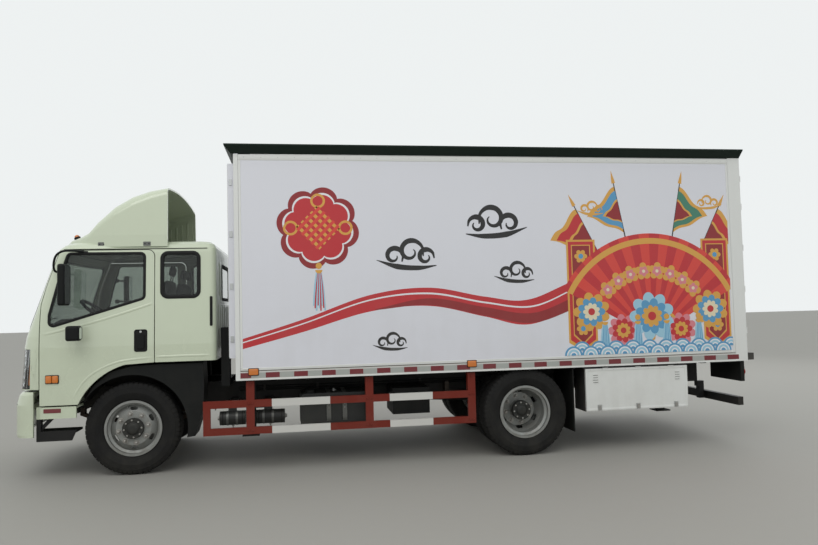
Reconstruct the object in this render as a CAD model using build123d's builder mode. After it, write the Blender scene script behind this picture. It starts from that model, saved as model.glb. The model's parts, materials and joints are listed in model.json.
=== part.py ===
from build123d import *
from math import atan2, cos, radians, sin, sqrt
import os

# A two-axle cab-over truck whose box body is a mobile stage: its side walls swing up as wings.
# Millimetres. +X is forward, +Y is the truck's left, +Z is up. The origin is on the ground,
# in the middle of the overall length and width.

os.makedirs("parts", exist_ok=True)

# Overall layout, along X from the front axle
wheelbase = 3800
front_overhang = 1125
rear_overhang = 2531
front_axle_x = (wheelbase + rear_overhang - front_overhang) / 2
rear_axle_x = front_axle_x - wheelbase
rear_end_x = rear_axle_x - rear_overhang

# Tyres and rims
tyre_radius = 432.5
tyre_width = 262
tread_width = 190
bead_radius = 250
bead_width = 176
flange_radius = 262
rim_width = 200
rim_wall = 9
rim_clearance = 1
drop_radius = 226
disc_thickness = 10
hub_radius = 88
hub_bore_clearance = 1.5
drum_radius = 185
drum_wall = 14
front_wheel_y = 836
rear_twin_y = 850
twin_spacing = 300
slot_count = 6
slot_circle = 183
slot_height = 28
slot_length = 68

# Chassis frame
frame_half_width = 410
rail_height = 210
rail_flange = 65
rail_wall = 8
rail_top = 790
rail_front = 930
rail_rear = 2300
cross_stations = (800, -1350, -2150, -2950, -4450, -5300, -6040)
cross_height = 90
cross_width = 70
kingpin_y = 740
kingpin_radius = 32
axle_width = 60
axle_depth = 80
axle_drop = 95
spindle_radius = 28
rear_tube_radius = 70
diff_radius = 185

# Box body
box_start = 970
box_length = 5277
box_half_width = 1150
box_bottom = 861
box_top = 3018
floor_top = 946
floor_thickness = 35
side_rail_thickness = 25
front_wall_thickness = 40
wing_thickness = 45
wing_gap = 6
wing_top_gap = 8
eave_flare = 70
eave_height = 90
eave_front = 86
eave_rear = 4
rear_post_width = 80
rear_post_depth = 137
rear_header = 88
rear_sill_top = 980
rear_door_thickness = 40
rear_door_gap = 8
rear_hinge_out = 18
rear_hinge_in = 30
roof_rail_depth = 88
roof_rail_width = 60

# Cab: level sections of the body (height, front face, half width, front corner radius, rear face)
cab_bow = 4500
cab_wall = 35
lining_gap = 14
cab_rear_radius = 60
cab_low = 690
cab_front_low = 840
cab_rear_low = 1055
cab_floor = 40
cab_sections = (
    (cab_low, 1084, 1040, 165, -780),
    (850, 1084, 1040, 165, -780),
    (1218, 1057, 1040, 165, -780),
    (1322, 1039, 1035, 150, -780),
    (2096, 774, 985, 120, -780),
    (2135, 752, 978, 118, -777),
    (2172, 706, 958, 112, -758),
    (2197, 640, 920, 106, -722),
    (2210, 545, 850, 100, -650),
)
roof_from = 2135
door_gap = 8
door_front = 795
door_rear = -211.5
door_top = 2118
glass_depth = 10
glass_thickness = 6
bumper_rear = 848
tilt_pin_x = 1010
tilt_pin_z = 700
tilt_pin_radius = 12
tilt_eye_radius = 24
tilt_arm_y = 318
tilt_arm_width = 26
tilt_arm_gap = 6
tilt_lug_width = 30
tilt_pin_clearance = 0.5

# Roof fairing sections (station, half width, top height, top corner radius)
fairing_sections = (
    (680, 640, 2210, 12),
    (600, 760, 2262, 26),
    (470, 880, 2302, 40),
    (400, 925, 2342, 55),
    (320, 950, 2445, 90),
    (160, 978, 2598, 120),
    (0, 986, 2694, 120),
    (-160, 990, 2748, 105),
    (-334, 992, 2777, 80),
)
fairing_bottom = 2152
fairing_wall = 14
fairing_crease = 2264
fairing_lean = 32
fairing_crown = 50

# Lower equipment
fuel_tank_stations = (-1558, -2243)
fuel_tank_y = (500, 970)
fuel_tank_z = (387, 690)
fuel_tank_round = 60
air_tank_stations = ((-782, -1030), (-1128, -1410))
air_tank_y = 790
air_tank_z = 466
air_tank_radius = 68
silencer_stations = (-1950, -2650)
silencer_y = -700
silencer_z = 545
silencer_radius = 125
tailpipe_end = -2900
tailpipe_radius = 38
battery_box = ((-2484, -2860), 900, (440, 700))
pump_box = ((-1190, -1760), -960, (420, 730))
guard_y = 1110
guard_thickness = 32
guard_front = -660
guard_rear = -3287
guard_low = (351, 417)
guard_high = (603, 672)
guard_post_width = 76
guard_posts = (-1057, -2190, -3211)
leg_front_station = -1095
leg_front_y = 985
leg_rear_station = -5440
leg_rear_y = 750
leg_sleeve = 90
leg_sleeve_wall = 8
leg_tube = 70
leg_foot = 160
leg_foot_thickness = 12
leg_foot_bottom = 325
leg_sleeve_bottom = 400
leg_top_gap = 60
tool_box_front = -4435
tool_box_rear = -5560
tool_box_low = 405
tool_box_top = 850
tool_box_depth = 292
tool_box_outer = 1130
tool_box_wall = 25
tool_lid_thickness = 22
tool_hinge_out = 6
tool_lid_gap = 5
tool_hinge_stations = (-4620, -4980, -5340)
tool_hinge_length = 60
tool_hinge_radius = 6
lamp_board_stations = (-6178, -6220)
lamp_board_y = (560, 1120)
lamp_board_low = 644
lamp_block_y = (640, 1080)
lamp_block_z = (690, 800)
lamp_block_depth = 28
buffer_y = (900, 1130)
buffer_z = (868, 940)
underrun_station = -6180
underrun_depth = 60
underrun_half = 1050
underrun_z = (383, 470)
underrun_arm_in = 345
flap_station = -4304
flap_thickness = 10
flap_y = (590, 1120)
flap_low = 211

# Mirrors
mirror_stations = (558, 496)
mirror_y = (1140, 1330)
mirror_z = (1603, 1977)
mirror_round = 22
mirror_arm = 11
mirror_arm_heights = (1665, 1915)
mirror_arm_root = (600, 960)
lower_mirror_stations = (515, 398)
lower_mirror_y = (1130, 1250)
lower_mirror_z = (1282, 1418)
lower_mirror_arm = 9


def at(station):
    """Overall x of a station measured forward from the front axle."""
    return front_axle_x + station


box_front_x = at(-box_start)
box_rear_x = box_front_x - box_length


def side_plane(y):
    """Side view drawn at width y: sketch x is forward and sketch y is up."""
    return Plane(origin=(0, y, 0), x_dir=(1, 0, 0), z_dir=(0, -1, 0))


def block(x_range, y_range, z_range, mode=Mode.ADD):
    """Adds a box between the given limits to the part being built."""
    x0, x1 = sorted(x_range)
    y0, y1 = sorted(y_range)
    z0, z1 = sorted(z_range)
    with Locations(((x0 + x1) / 2, (y0 + y1) / 2, (z0 + z1) / 2)):
        Box(x1 - x0, y1 - y0, z1 - z0, mode=mode)


def rod(start, end, radius, mode=Mode.ADD):
    """Adds a round bar between two points."""
    way = Vector(*end) - Vector(*start)
    with BuildSketch(Plane(origin=start, z_dir=way.normalized())) as section:
        Circle(radius)
    extrude(section.sketch, amount=way.length, mode=mode)


def side_prism(points, y_range, mode=Mode.ADD, radius=0):
    """Adds a side view outline, as (station, height) points, between two widths."""
    y0, y1 = sorted(y_range)
    with BuildSketch(side_plane(y0)) as view:
        Polygon(*[(at(s), z) for s, z in points], align=None)
        if radius:
            fillet(view.vertices(), radius=radius)
    extrude(view.sketch, amount=-(y1 - y0), mode=mode)


def finish(part, name):
    """Labels a finished piece and writes it."""
    part.label = name
    export_step(part, f"parts/{name}.step")


# Chassis frame: two channel rails with brackets, tied by cross members
rail_bottom = rail_top - rail_height
rail_inner = frame_half_width - rail_flange
with BuildPart() as chassis_frame:
    for side in (1, -1):
        ends = (at(rail_front), rear_axle_x - rail_rear)
        block(ends, (side * rail_inner, side * frame_half_width), (rail_bottom, rail_top))
        block(
            ends,
            (side * (rail_inner - 1), side * (frame_half_width - rail_wall)),
            (rail_bottom + rail_wall, rail_top - rail_wall),
            mode=Mode.SUBTRACT,
        )
    for station in cross_stations:
        middle = at(station)
        block(
            (middle - cross_width / 2, middle + cross_width / 2),
            (-(frame_half_width - rail_wall), frame_half_width - rail_wall),
            (rail_top - rail_wall - cross_height, rail_top - rail_wall),
        )
    for side in (1, -1):
        # cab tilt brackets at the rails' front ends
        bracket_y = tilt_arm_y + tilt_arm_width / 2 + tilt_arm_gap
        with BuildSketch(side_plane(min(side * bracket_y, side * (bracket_y + tilt_lug_width)))):
            with Locations((tilt_pin_x + front_axle_x, tilt_pin_z)):
                Circle(30)
            with BuildLine():
                Polyline(
                    (at(rail_front) - 30, tilt_pin_z - 40),
                    (at(tilt_pin_x), tilt_pin_z - 30),
                    (at(tilt_pin_x), tilt_pin_z + 30),
                    (at(rail_front) - 30, tilt_pin_z + 60),
                    close=True,
                )
            make_face()
            with Locations((tilt_pin_x + front_axle_x, tilt_pin_z)):
                Circle(tilt_pin_radius + tilt_pin_clearance, mode=Mode.SUBTRACT)
        extrude(amount=-tilt_lug_width)
        block(
            (at(rail_front - 50), at(rail_front)),
            (side * bracket_y, side * (frame_half_width - rail_wall)),
            (tilt_pin_z - 40, tilt_pin_z + 60),
        )
finish(chassis_frame.part, "chassis_frame")

# Springs: front packs under the rails, rear packs outside them
front_spring_half = 620
rear_spring_half = 700
spring_width = 70
front_spring_y = 385
rear_spring_y = 490
axle_z = tyre_radius
front_seat_z = axle_z - axle_drop + axle_depth / 2
rear_seat_z = axle_z + rear_tube_radius
front_pack = 65
rear_pack = 85
leaf_end = 26
front_spring_rise = 130
rear_spring_rise = 95


def spring_pack(axle_x, seat_z, y, half, rise, pack):
    """Adds one leaf pack: thick over the axle, thin at its raised ends."""
    with BuildSketch(side_plane(y - spring_width / 2)) as view:
        with BuildLine():
            ThreePointArc((axle_x - half, seat_z + rise), (axle_x, seat_z), (axle_x + half, seat_z + rise))
            Line((axle_x + half, seat_z + rise), (axle_x + half, seat_z + rise + leaf_end))
            ThreePointArc(
                (axle_x + half, seat_z + rise + leaf_end),
                (axle_x, seat_z + pack),
                (axle_x - half, seat_z + rise + leaf_end),
            )
            Line((axle_x - half, seat_z + rise + leaf_end), (axle_x - half, seat_z + rise))
        make_face()
    extrude(view.sketch, amount=-spring_width)


hanger_length = 44
with BuildPart() as leaf_springs:
    for side in (1, -1):
        front_y = side * front_spring_y
        rear_y = side * rear_spring_y
        spring_pack(front_axle_x, front_seat_z, front_y, front_spring_half, front_spring_rise, front_pack)
        spring_pack(rear_axle_x, rear_seat_z, rear_y, rear_spring_half, rear_spring_rise, rear_pack)
        for end in (1, -1):
            x = front_axle_x + end * (front_spring_half - hanger_length / 2)
            top = front_seat_z + front_spring_rise
            block(
                (x - hanger_length / 2, x + hanger_length / 2),
                (side * rail_inner, side * frame_half_width),
                (top + leaf_end / 2, rail_bottom),
            )
            x = rear_axle_x + end * (rear_spring_half - hanger_length / 2)
            top = rear_seat_z + rear_spring_rise
            block(
                (x - hanger_length / 2, x + hanger_length / 2),
                (side * frame_half_width, side * (rear_spring_y + spring_width / 2)),
                (top + leaf_end / 2, top + 110),
            )
finish(leaf_springs.part, "leaf_springs")

# Front axle: a dropped beam with an eye at each kingpin
eye_height = 110
with BuildPart() as front_axle:
    half = axle_depth / 2
    reach = kingpin_y - kingpin_radius / 2
    bend_out = 620
    bend_in = 500
    low = axle_z - axle_drop
    half_beam = [(reach, axle_z), (bend_out, axle_z), (bend_in, low)]
    beam = half_beam + [(-y, z) for y, z in reversed(half_beam)]
    upper = [(y, z + half) for y, z in beam]
    lower = [(y, z - half) for y, z in reversed(beam)]
    with BuildSketch(Plane.YZ.offset(front_axle_x - axle_width / 2)):
        Polygon(*upper, *lower, align=None)
    extrude(amount=axle_width)
    for side in (1, -1):
        rod(
            (front_axle_x, side * kingpin_y, axle_z - eye_height / 2),
            (front_axle_x, side * kingpin_y, axle_z + eye_height / 2),
            kingpin_radius,
        )
finish(front_axle.part, "front_axle")

# Rear axle: tube with the drive head in its middle
rear_tube_end = rear_twin_y - 12
pinion_z = axle_z + 40
pinion_reach = 330
with BuildPart() as rear_axle:
    rod((rear_axle_x, -rear_tube_end, axle_z), (rear_axle_x, rear_tube_end, axle_z), rear_tube_radius)
    with Locations((rear_axle_x, 0, axle_z)):
        Sphere(diff_radius)
    rod((rear_axle_x, 0, pinion_z), (rear_axle_x + pinion_reach, 0, pinion_z), 75)
finish(rear_axle.part, "rear_axle")

# Engine, gearbox, radiator and propeller shaft
engine_stations = (500, -450)
engine_half = 280
engine_z = (500, 1015)
gearbox_rear = -1080
gearbox_half = 170
gearbox_top = 675
radiator_stations = (740, 660)
radiator_half = 330
radiator_z = (520, 1010)
shaft_z = 600
shaft_radius = 45
with BuildPart() as drive_line:
    block((at(engine_stations[0]), at(engine_stations[1])), (-engine_half, engine_half), engine_z)
    block((at(engine_stations[1]), at(gearbox_rear)), (-gearbox_half, gearbox_half), (engine_z[0], gearbox_top))
    block((at(radiator_stations[0]), at(radiator_stations[1])), (-radiator_half, radiator_half), radiator_z)
    rod((at(gearbox_rear), 0, shaft_z), (rear_axle_x + pinion_reach + 10, 0, pinion_z), shaft_radius)
    rod((rear_axle_x + pinion_reach, 0, pinion_z), (rear_axle_x + pinion_reach + 20, 0, pinion_z), 70)
finish(drive_line.part, "drive_line")

# Tanks and boxes outside the rails, on brackets
bracket_length = 60
with BuildPart() as fuel_tank:
    front, rear = fuel_tank_stations
    low, high = fuel_tank_z
    side_prism(((front, low), (rear, low), (rear, high), (front, high)), fuel_tank_y, radius=fuel_tank_round)
    for station in (front - 92, rear + 92):
        along = (at(station), at(station - bracket_length))
        block(along, (frame_half_width, fuel_tank_y[0] + 40), (rail_bottom + 20, high - rail_wall))
finish(fuel_tank.part, "fuel_tank")

with BuildPart() as chassis_tanks:
    bracket_low = rail_bottom + 10
    bracket_high = rail_bottom + 40
    for start, stop in air_tank_stations:
        rod((at(start), air_tank_y, air_tank_z), (at(stop), air_tank_y, air_tank_z), air_tank_radius)
        along = (at(start - 80), at(start - 160))
        block(along, (frame_half_width, air_tank_y), (bracket_low, bracket_high))
        block(along, (air_tank_y - 30, air_tank_y), (air_tank_z + 34, bracket_high))
    front, rear = silencer_stations
    rod((at(front), silencer_y, silencer_z), (at(rear), silencer_y, silencer_z), silencer_radius)
    for station in (front - 100, rear + 150):
        along = (at(station), at(station - bracket_length))
        block(along, (-frame_half_width, silencer_y), (silencer_z + 95, silencer_z + 135))
    rod((at(rear + 10), silencer_y, silencer_z), (at(tailpipe_end), silencer_y, silencer_z), tailpipe_radius)
finish(chassis_tanks.part, "chassis_tanks")

with BuildPart() as chassis_boxes:
    for (front, rear), outer, heights in (battery_box, pump_box):
        inner = frame_half_width if outer > 0 else -frame_half_width
        block((at(front), at(rear)), (inner, outer), heights)
finish(chassis_boxes.part, "chassis_boxes")

# Box subframe: two long beams on the rails, cross bearers and the sleeves of the stabiliser legs
bearer_width = 60
beam_top = rail_top + 60
bearer_top = floor_top - floor_thickness
tyre_room = 60
bearer_stations = (
    leg_front_station, -1470, -1850, -2228, -2740, -3249, -3580,
    -4020, -4330, -4740, -5100, leg_rear_station, -5755, -6070,
)
with BuildPart() as box_subframe:
    for side in (1, -1):
        block((at(-1000), at(-6130)), (side * rail_inner, side * frame_half_width), (rail_top, beam_top))
    for station in bearer_stations:
        middle = at(station)
        over_tyre = abs(middle - rear_axle_x) < tyre_radius + tyre_room
        reach = rear_twin_y - twin_spacing / 2 - tyre_width / 2 - 20 if over_tyre else box_half_width - 30
        block((middle - bearer_width / 2, middle + bearer_width / 2), (-reach, reach), (beam_top, bearer_top))
    for station, y in ((leg_front_station, leg_front_y), (leg_rear_station, leg_rear_y)):
        for side in (1, -1):
            x = at(station)
            half = leg_sleeve / 2
            bore = half - leg_sleeve_wall
            block((x - half, x + half), (side * y - half, side * y + half), (leg_sleeve_bottom, bearer_top))
            block(
                (x - bore, x + bore),
                (side * y - bore, side * y + bore),
                (leg_sleeve_bottom - 1, bearer_top - 20),
                mode=Mode.SUBTRACT,
            )
            block((x - half, x + half), (side * frame_half_width, side * y), (bearer_top - 50, bearer_top))
finish(box_subframe.part, "box_subframe")

# Stabiliser legs
for name, station, y in (
    ("leg_front_left", leg_front_station, leg_front_y),
    ("leg_front_right", leg_front_station, -leg_front_y),
    ("leg_rear_left", leg_rear_station, leg_rear_y),
    ("leg_rear_right", leg_rear_station, -leg_rear_y),
):
    with BuildPart() as leg:
        x = at(station)
        half = leg_tube / 2
        foot = leg_foot / 2
        foot_top = leg_foot_bottom + leg_foot_thickness
        block((x - half, x + half), (y - half, y + half), (foot_top, bearer_top - leg_top_gap))
        block((x - foot, x + foot), (y - foot, y + foot), (leg_foot_bottom, foot_top))
    finish(leg.part, name)

# Box floor with its outer side rails
with BuildPart() as box_floor:
    floor_front_x = box_front_x - front_wall_thickness
    floor_half = box_half_width - side_rail_thickness
    block((floor_front_x, box_rear_x + rear_post_depth), (-floor_half, floor_half), (bearer_top, floor_top))
    for side in (1, -1):
        block(
            (floor_front_x, box_rear_x + rear_post_depth),
            (side * floor_half, side * box_half_width),
            (box_bottom, floor_top),
        )
finish(box_floor.part, "box_floor")

# Front wall with a corner channel on each side
channel_depth = 62
with BuildPart() as box_front_wall:
    block((box_front_x, floor_front_x), (-box_half_width, box_half_width), (bearer_top, box_top))
    for side in (1, -1):
        end_y = (side * floor_half, side * box_half_width)
        block((box_front_x, floor_front_x), end_y, (box_bottom, bearer_top + 1))
        block((box_front_x + channel_depth, box_front_x), (side * 1045, side * 1100), (1070, 2930))
finish(box_front_wall.part, "box_front_wall")

# Rear frame: posts, header and sill round the two doors
with BuildPart() as box_rear_frame:
    post_front_x = box_rear_x + rear_post_depth
    block((box_rear_x, post_front_x), (-box_half_width, box_half_width), (box_bottom, box_top))
    block(
        (box_rear_x - 1, post_front_x + 1),
        (-(box_half_width - rear_post_width), box_half_width - rear_post_width),
        (rear_sill_top, box_top - rear_header),
        mode=Mode.SUBTRACT,
    )
finish(box_rear_frame.part, "box_rear_frame")

# Roof with its flared eave and the inner rails that carry the wing hinges
wing_front_x = box_front_x - front_wall_thickness - 2
wing_rear_x = box_rear_x + rear_post_depth + 4
with BuildPart() as box_roof:
    low_front, low_rear = box_front_x + eave_front - 60, box_rear_x
    high_front, high_rear = box_front_x + eave_front, box_rear_x - eave_rear
    for z, front, rear, half in (
        (box_top, low_front, low_rear, box_half_width),
        (box_top + eave_height - 20, high_front, high_rear, box_half_width + eave_flare),
        (box_top + eave_height - 8, high_front, high_rear, box_half_width + eave_flare),
        (box_top + eave_height, high_front - 60, high_rear + 30, box_half_width),
    ):
        with BuildSketch(Plane.XY.offset(z)):
            with Locations(((front + rear) / 2, 0)):
                Rectangle(front - rear, 2 * half)
    loft(ruled=True)
    for side in (1, -1):
        outer = box_half_width - wing_thickness - wing_gap
        block(
            (box_front_x - front_wall_thickness, box_rear_x + rear_post_depth),
            (side * (outer - roof_rail_width), side * outer),
            (box_top - roof_rail_depth, box_top),
        )
finish(box_roof.part, "box_roof")

# Wings: the full side walls, hinged under the eaves
wing_top = box_top - wing_top_gap
wing_bottom = floor_top + wing_gap
for name, side in (("wing_left", 1), ("wing_right", -1)):
    with BuildPart() as wing:
        block(
            (wing_front_x, wing_rear_x),
            (side * (box_half_width - wing_thickness), side * box_half_width),
            (wing_bottom, wing_top),
        )
    finish(wing.part, name)

# Rear doors with hinge straps, lock rods and handles
strap_heights = (1180, 1620, 2060, 2500, 2800)
strap_half = 25
strap_length = 140
strap_thickness = 8
hinge_half = 32
hinge_radius = 9
rod_radius = 13
rod_out = 26
rod_y = (180, 700)
rod_guide_heights = (1100, 1500, 2000, 2500, 2850)
handle_z = 1475
handle_end = 520
door_inner_y = rear_door_gap / 2
door_outer_y = box_half_width - rear_post_width - rear_door_gap
rear_door_low = rear_sill_top + rear_door_gap
rear_door_high = box_top - rear_header - rear_door_gap
rear_axis_x = box_rear_x - rear_hinge_out
rear_axis_y = box_half_width - rear_hinge_in
for name, side in (("rear_door_left", 1), ("rear_door_right", -1)):
    with BuildPart() as rear_door:
        block(
            (box_rear_x, box_rear_x + rear_door_thickness),
            (side * door_inner_y, side * door_outer_y),
            (rear_door_low, rear_door_high),
        )
        for z in strap_heights:
            tall = (z - strap_half, z + strap_half)
            strap_y = (side * (door_outer_y - strap_length), side * door_outer_y)
            block((box_rear_x - strap_thickness, box_rear_x), strap_y, tall)
            reach_y = (side * (door_outer_y - 6), side * rear_axis_y)
            block((box_rear_x - strap_thickness - 2, box_rear_x - 2), reach_y, tall)
            rod(
                (rear_axis_x, side * rear_axis_y, z - hinge_half),
                (rear_axis_x, side * rear_axis_y, z + hinge_half),
                hinge_radius,
            )
            block((rear_axis_x, box_rear_x - 2), (side * (rear_axis_y - 8), side * (rear_axis_y + 4)), tall)
        for y in rod_y:
            rod(
                (box_rear_x - rod_out, side * y, rear_door_low + 20),
                (box_rear_x - rod_out, side * y, rear_door_high - 20),
                rod_radius,
            )
            for z in rod_guide_heights:
                block((box_rear_x - rod_out, box_rear_x), (side * (y - 28), side * (y + 28)), (z - 22, z + 22))
        handle_root = rod_y[0] - 15
        handle_y = (side * (handle_root - 15), side * handle_end)
        block((box_rear_x - 52, box_rear_x - 34), handle_y, (handle_z - 15, handle_z + 15))
        root_y = (side * handle_root, side * (handle_root + 30))
        block((box_rear_x - 52, box_rear_x - rod_out), root_y, (handle_z - 20, handle_z + 20))
    finish(rear_door.part, name)

# Rear lamps on their boards, dock buffers and the underrun bar
with BuildPart() as tail_lamps:
    board_front_x, board_rear_x = at(lamp_board_stations[0]), at(lamp_board_stations[1])
    for side in (1, -1):
        board_y = (side * lamp_board_y[0], side * lamp_board_y[1])
        block((board_front_x, board_rear_x), board_y, (lamp_board_low, box_bottom))
        lamp_y = (side * lamp_block_y[0], side * lamp_block_y[1])
        block((board_rear_x, board_rear_x - lamp_block_depth), lamp_y, lamp_block_z)
finish(tail_lamps.part, "tail_lamps")

with BuildPart() as dock_buffers:
    for side in (1, -1):
        block((rear_end_x, box_rear_x), (side * buffer_y[0], side * buffer_y[1]), buffer_z)
finish(dock_buffers.part, "dock_buffers")

with BuildPart() as underrun_bar:
    bar_front = at(underrun_station)
    arm_front = bar_front + underrun_depth
    block((bar_front, bar_front - underrun_depth), (-underrun_half, underrun_half), underrun_z)
    for side in (1, -1):
        arm_y = (side * underrun_arm_in, side * frame_half_width)
        block((bar_front, arm_front), arm_y, (underrun_z[0], rail_bottom))
        block((rear_axle_x - rail_rear, arm_front), arm_y, (rail_bottom - 60, rail_bottom))
finish(underrun_bar.part, "underrun_bar")

# Side guards between the axles: two rails and four uprights a side
with BuildPart() as side_guards:
    for side in (1, -1):
        outer = side * guard_y
        inner = side * (guard_y - guard_thickness)
        for low, high in (guard_low, guard_high):
            block((at(guard_front), at(guard_rear)), (outer, inner), (low, high))
        block((at(guard_front), at(guard_front - 67)), (outer, inner), (guard_low[0], guard_high[1]))
        for station in guard_posts:
            block((at(station), at(station - guard_post_width)), (outer, inner), (guard_low[0], beam_top))
            block(
                (at(station), at(station - guard_post_width)),
                (side * (guard_y - guard_thickness - 40), inner),
                (guard_high[1], beam_top),
            )
finish(side_guards.part, "side_guards")

# Tool boxes behind the rear wheels, open to the outside, and their lids
box_mouth = tool_box_outer - tool_lid_thickness
with BuildPart() as tool_boxes:
    for side in (1, -1):
        block(
            (at(tool_box_front), at(tool_box_rear)),
            (side * (tool_box_outer - tool_box_depth), side * (box_mouth - tool_lid_gap)),
            (tool_box_low, tool_box_top),
        )
        block(
            (at(tool_box_front - tool_box_wall), at(tool_box_rear + tool_box_wall)),
            (side * (tool_box_outer - tool_box_depth + tool_box_wall), side * box_mouth),
            (tool_box_low + tool_box_wall, tool_box_top - tool_box_wall),
            mode=Mode.SUBTRACT,
        )
        for station in (-4560, -5300):
            block(
                (at(station), at(station - 60)),
                (side * frame_half_width, side * (tool_box_outer - tool_box_depth + 5)),
                (rail_bottom + 60, rail_bottom + 110),
            )
finish(tool_boxes.part, "tool_boxes")

for name, side in (("tool_lid_left", 1), ("tool_lid_right", -1)):
    with BuildPart() as tool_lid:
        block(
            (at(tool_box_front - 4), at(tool_box_rear + 4)),
            (side * box_mouth, side * tool_box_outer),
            (tool_box_low + 4, tool_box_top - 12),
        )
        hinge = (side * (tool_box_outer + tool_hinge_out), tool_box_top - 12)
        for station in tool_hinge_stations:
            end = station - tool_hinge_length
            rod((at(station), hinge[0], hinge[1]), (at(end), hinge[0], hinge[1]), tool_hinge_radius)
            block(
                (at(station), at(end)),
                (side * (tool_box_outer - 3), side * (tool_box_outer + tool_hinge_out)),
                (hinge[1] - 20, hinge[1]),
            )
    finish(tool_lid.part, name)

# Mudguards: arch panels behind the cab steps, and rubber flaps behind the rear wheels
arch_radius = 508
arch_plate = 8
arch_outer_y = 998
arch_inner_y = 690
with BuildPart() as mudguards:
    for side in (1, -1):
        outline = (
            (432, 700), (332, 858), (190, 972), (0, 1022), (-250, 1030),
            (-650, 1030), (-660, 820), (-645, 577), (-573, 343), (-478, 330),
        )
        side_prism(outline, (side * arch_inner_y, side * arch_outer_y))
        hollow = (
            (300, 700), (300, 860), (180, 958), (0, 1014), (-250, 1022),
            (-642, 1022), (-652, 820), (-637, 577), (-567, 343), (-300, 200),
        )
        side_prism(
            hollow,
            (side * (arch_inner_y - 1), side * (arch_outer_y - arch_plate)),
            mode=Mode.SUBTRACT,
        )
        rod(
            (front_axle_x, side * (arch_inner_y - 1), axle_z),
            (front_axle_x, side * (arch_outer_y + 1), axle_z),
            arch_radius,
            mode=Mode.SUBTRACT,
        )
        block((at(-520), at(-560)), (side * frame_half_width, side * (arch_inner_y + 20)), (1000, 1022))
        block((at(-520), at(-560)), (side * frame_half_width, side * (frame_half_width + 30)), (700, 1022))
        flap_x = (at(flap_station), at(flap_station - flap_thickness))
        block(flap_x, (side * flap_y[0], side * flap_y[1]), (flap_low, beam_top))
finish(mudguards.part, "mudguards")

# Front bumper: level sections (height, front face)
bumper_sections = ((406, 1118), (430, 1125), (700, 1125), (790, 1100), (820, 1070))
bumper_half = 1045
bumper_corner = 160
bumper_wall = 30


def nose_points(front, half, corner, bow, inset):
    """Tangent points of a bowed front with round corners, drawn in from its outline by inset."""
    w = half - inset
    xf = front - inset
    rc = corner - inset
    rb = bow - inset
    cx = xf - rb + sqrt((rb - rc) ** 2 - (w - rc) ** 2)
    cy = w - rc
    turn = atan2(cy, cx - (xf - rb))
    touch = (xf - rb + rb * cos(turn), rb * sin(turn))
    between = (turn + radians(90)) / 2
    corner_mid = (cx + rc * cos(between), cy + rc * sin(between))
    return xf, w, cx, touch, corner_mid


def plan_face(z, front, half, corner, rear, bow, inset=0, rear_radius=0):
    """Level section of a cab or bumper: straight back and sides, round corners, bowed front."""
    xf, w, cx, touch, mid = nose_points(front, half, corner, bow, inset)
    xr = rear + inset
    rr = max(rear_radius - inset, 0)
    slant = rr * (1 - cos(radians(45)))
    with BuildSketch(Plane.XY.offset(z)) as level:
        with BuildLine():
            if rr > 0:
                ThreePointArc((at(xr), w - rr), (at(xr + slant), w - slant), (at(xr + rr), w))
                ThreePointArc((at(xr), -(w - rr)), (at(xr + slant), -(w - slant)), (at(xr + rr), -w))
            Line((at(xr), -(w - rr)), (at(xr), w - rr))
            Line((at(xr + rr), w), (at(cx), w))
            ThreePointArc((at(cx), w), (at(mid[0]), mid[1]), (at(touch[0]), touch[1]))
            ThreePointArc((at(touch[0]), touch[1]), (at(xf), 0), (at(touch[0]), -touch[1]))
            ThreePointArc((at(touch[0]), -touch[1]), (at(mid[0]), -mid[1]), (at(cx), -w))
            Line((at(cx), -w), (at(xr + rr), -w))
        make_face()
    return level.sketch


def bumper_body(inset):
    """The bumper's outer form, or its hollow when inset."""
    levels = []
    for height, front in bumper_sections:
        z = height
        if inset and height == bumper_sections[0][0]:
            z = height - 5
        if inset and height == bumper_sections[-1][0]:
            z = height - bumper_wall / 2
        levels.append(plan_face(z, front, bumper_half, bumper_corner, bumper_rear - 100, cab_bow, inset))
    with BuildPart() as body:
        loft(levels, ruled=True)
    return body.part


bumper_outer = bumper_body(0)
bumper_inner = bumper_body(bumper_wall)
with BuildPart() as front_bumper:
    add(bumper_outer)
    add(bumper_inner, mode=Mode.SUBTRACT)
    block((at(bumper_rear), at(bumper_rear - 200)), (-1200, 1200), (300, 900), mode=Mode.SUBTRACT)
    for side in (1, -1):
        block((at(rail_front), at(1080)), (side * 372, side * 402), (rail_bottom, rail_bottom + 60))
        slot_in = tilt_arm_y - tilt_arm_width / 2 - tilt_arm_gap
        slot_out = tilt_arm_y + tilt_arm_width / 2 + tilt_arm_gap
        block(
            (at(bumper_rear - 1), at(tilt_pin_x + tilt_eye_radius + tilt_arm_gap)),
            (side * slot_in, side * slot_out),
            (bumper_sections[-1][0] - 2 * bumper_wall, bumper_sections[-1][0] + 1),
            mode=Mode.SUBTRACT,
        )
    block((at(1050), at(1085)), (-402, 402), (rail_bottom, rail_bottom + 60))
finish(front_bumper.part, "front_bumper")

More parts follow.
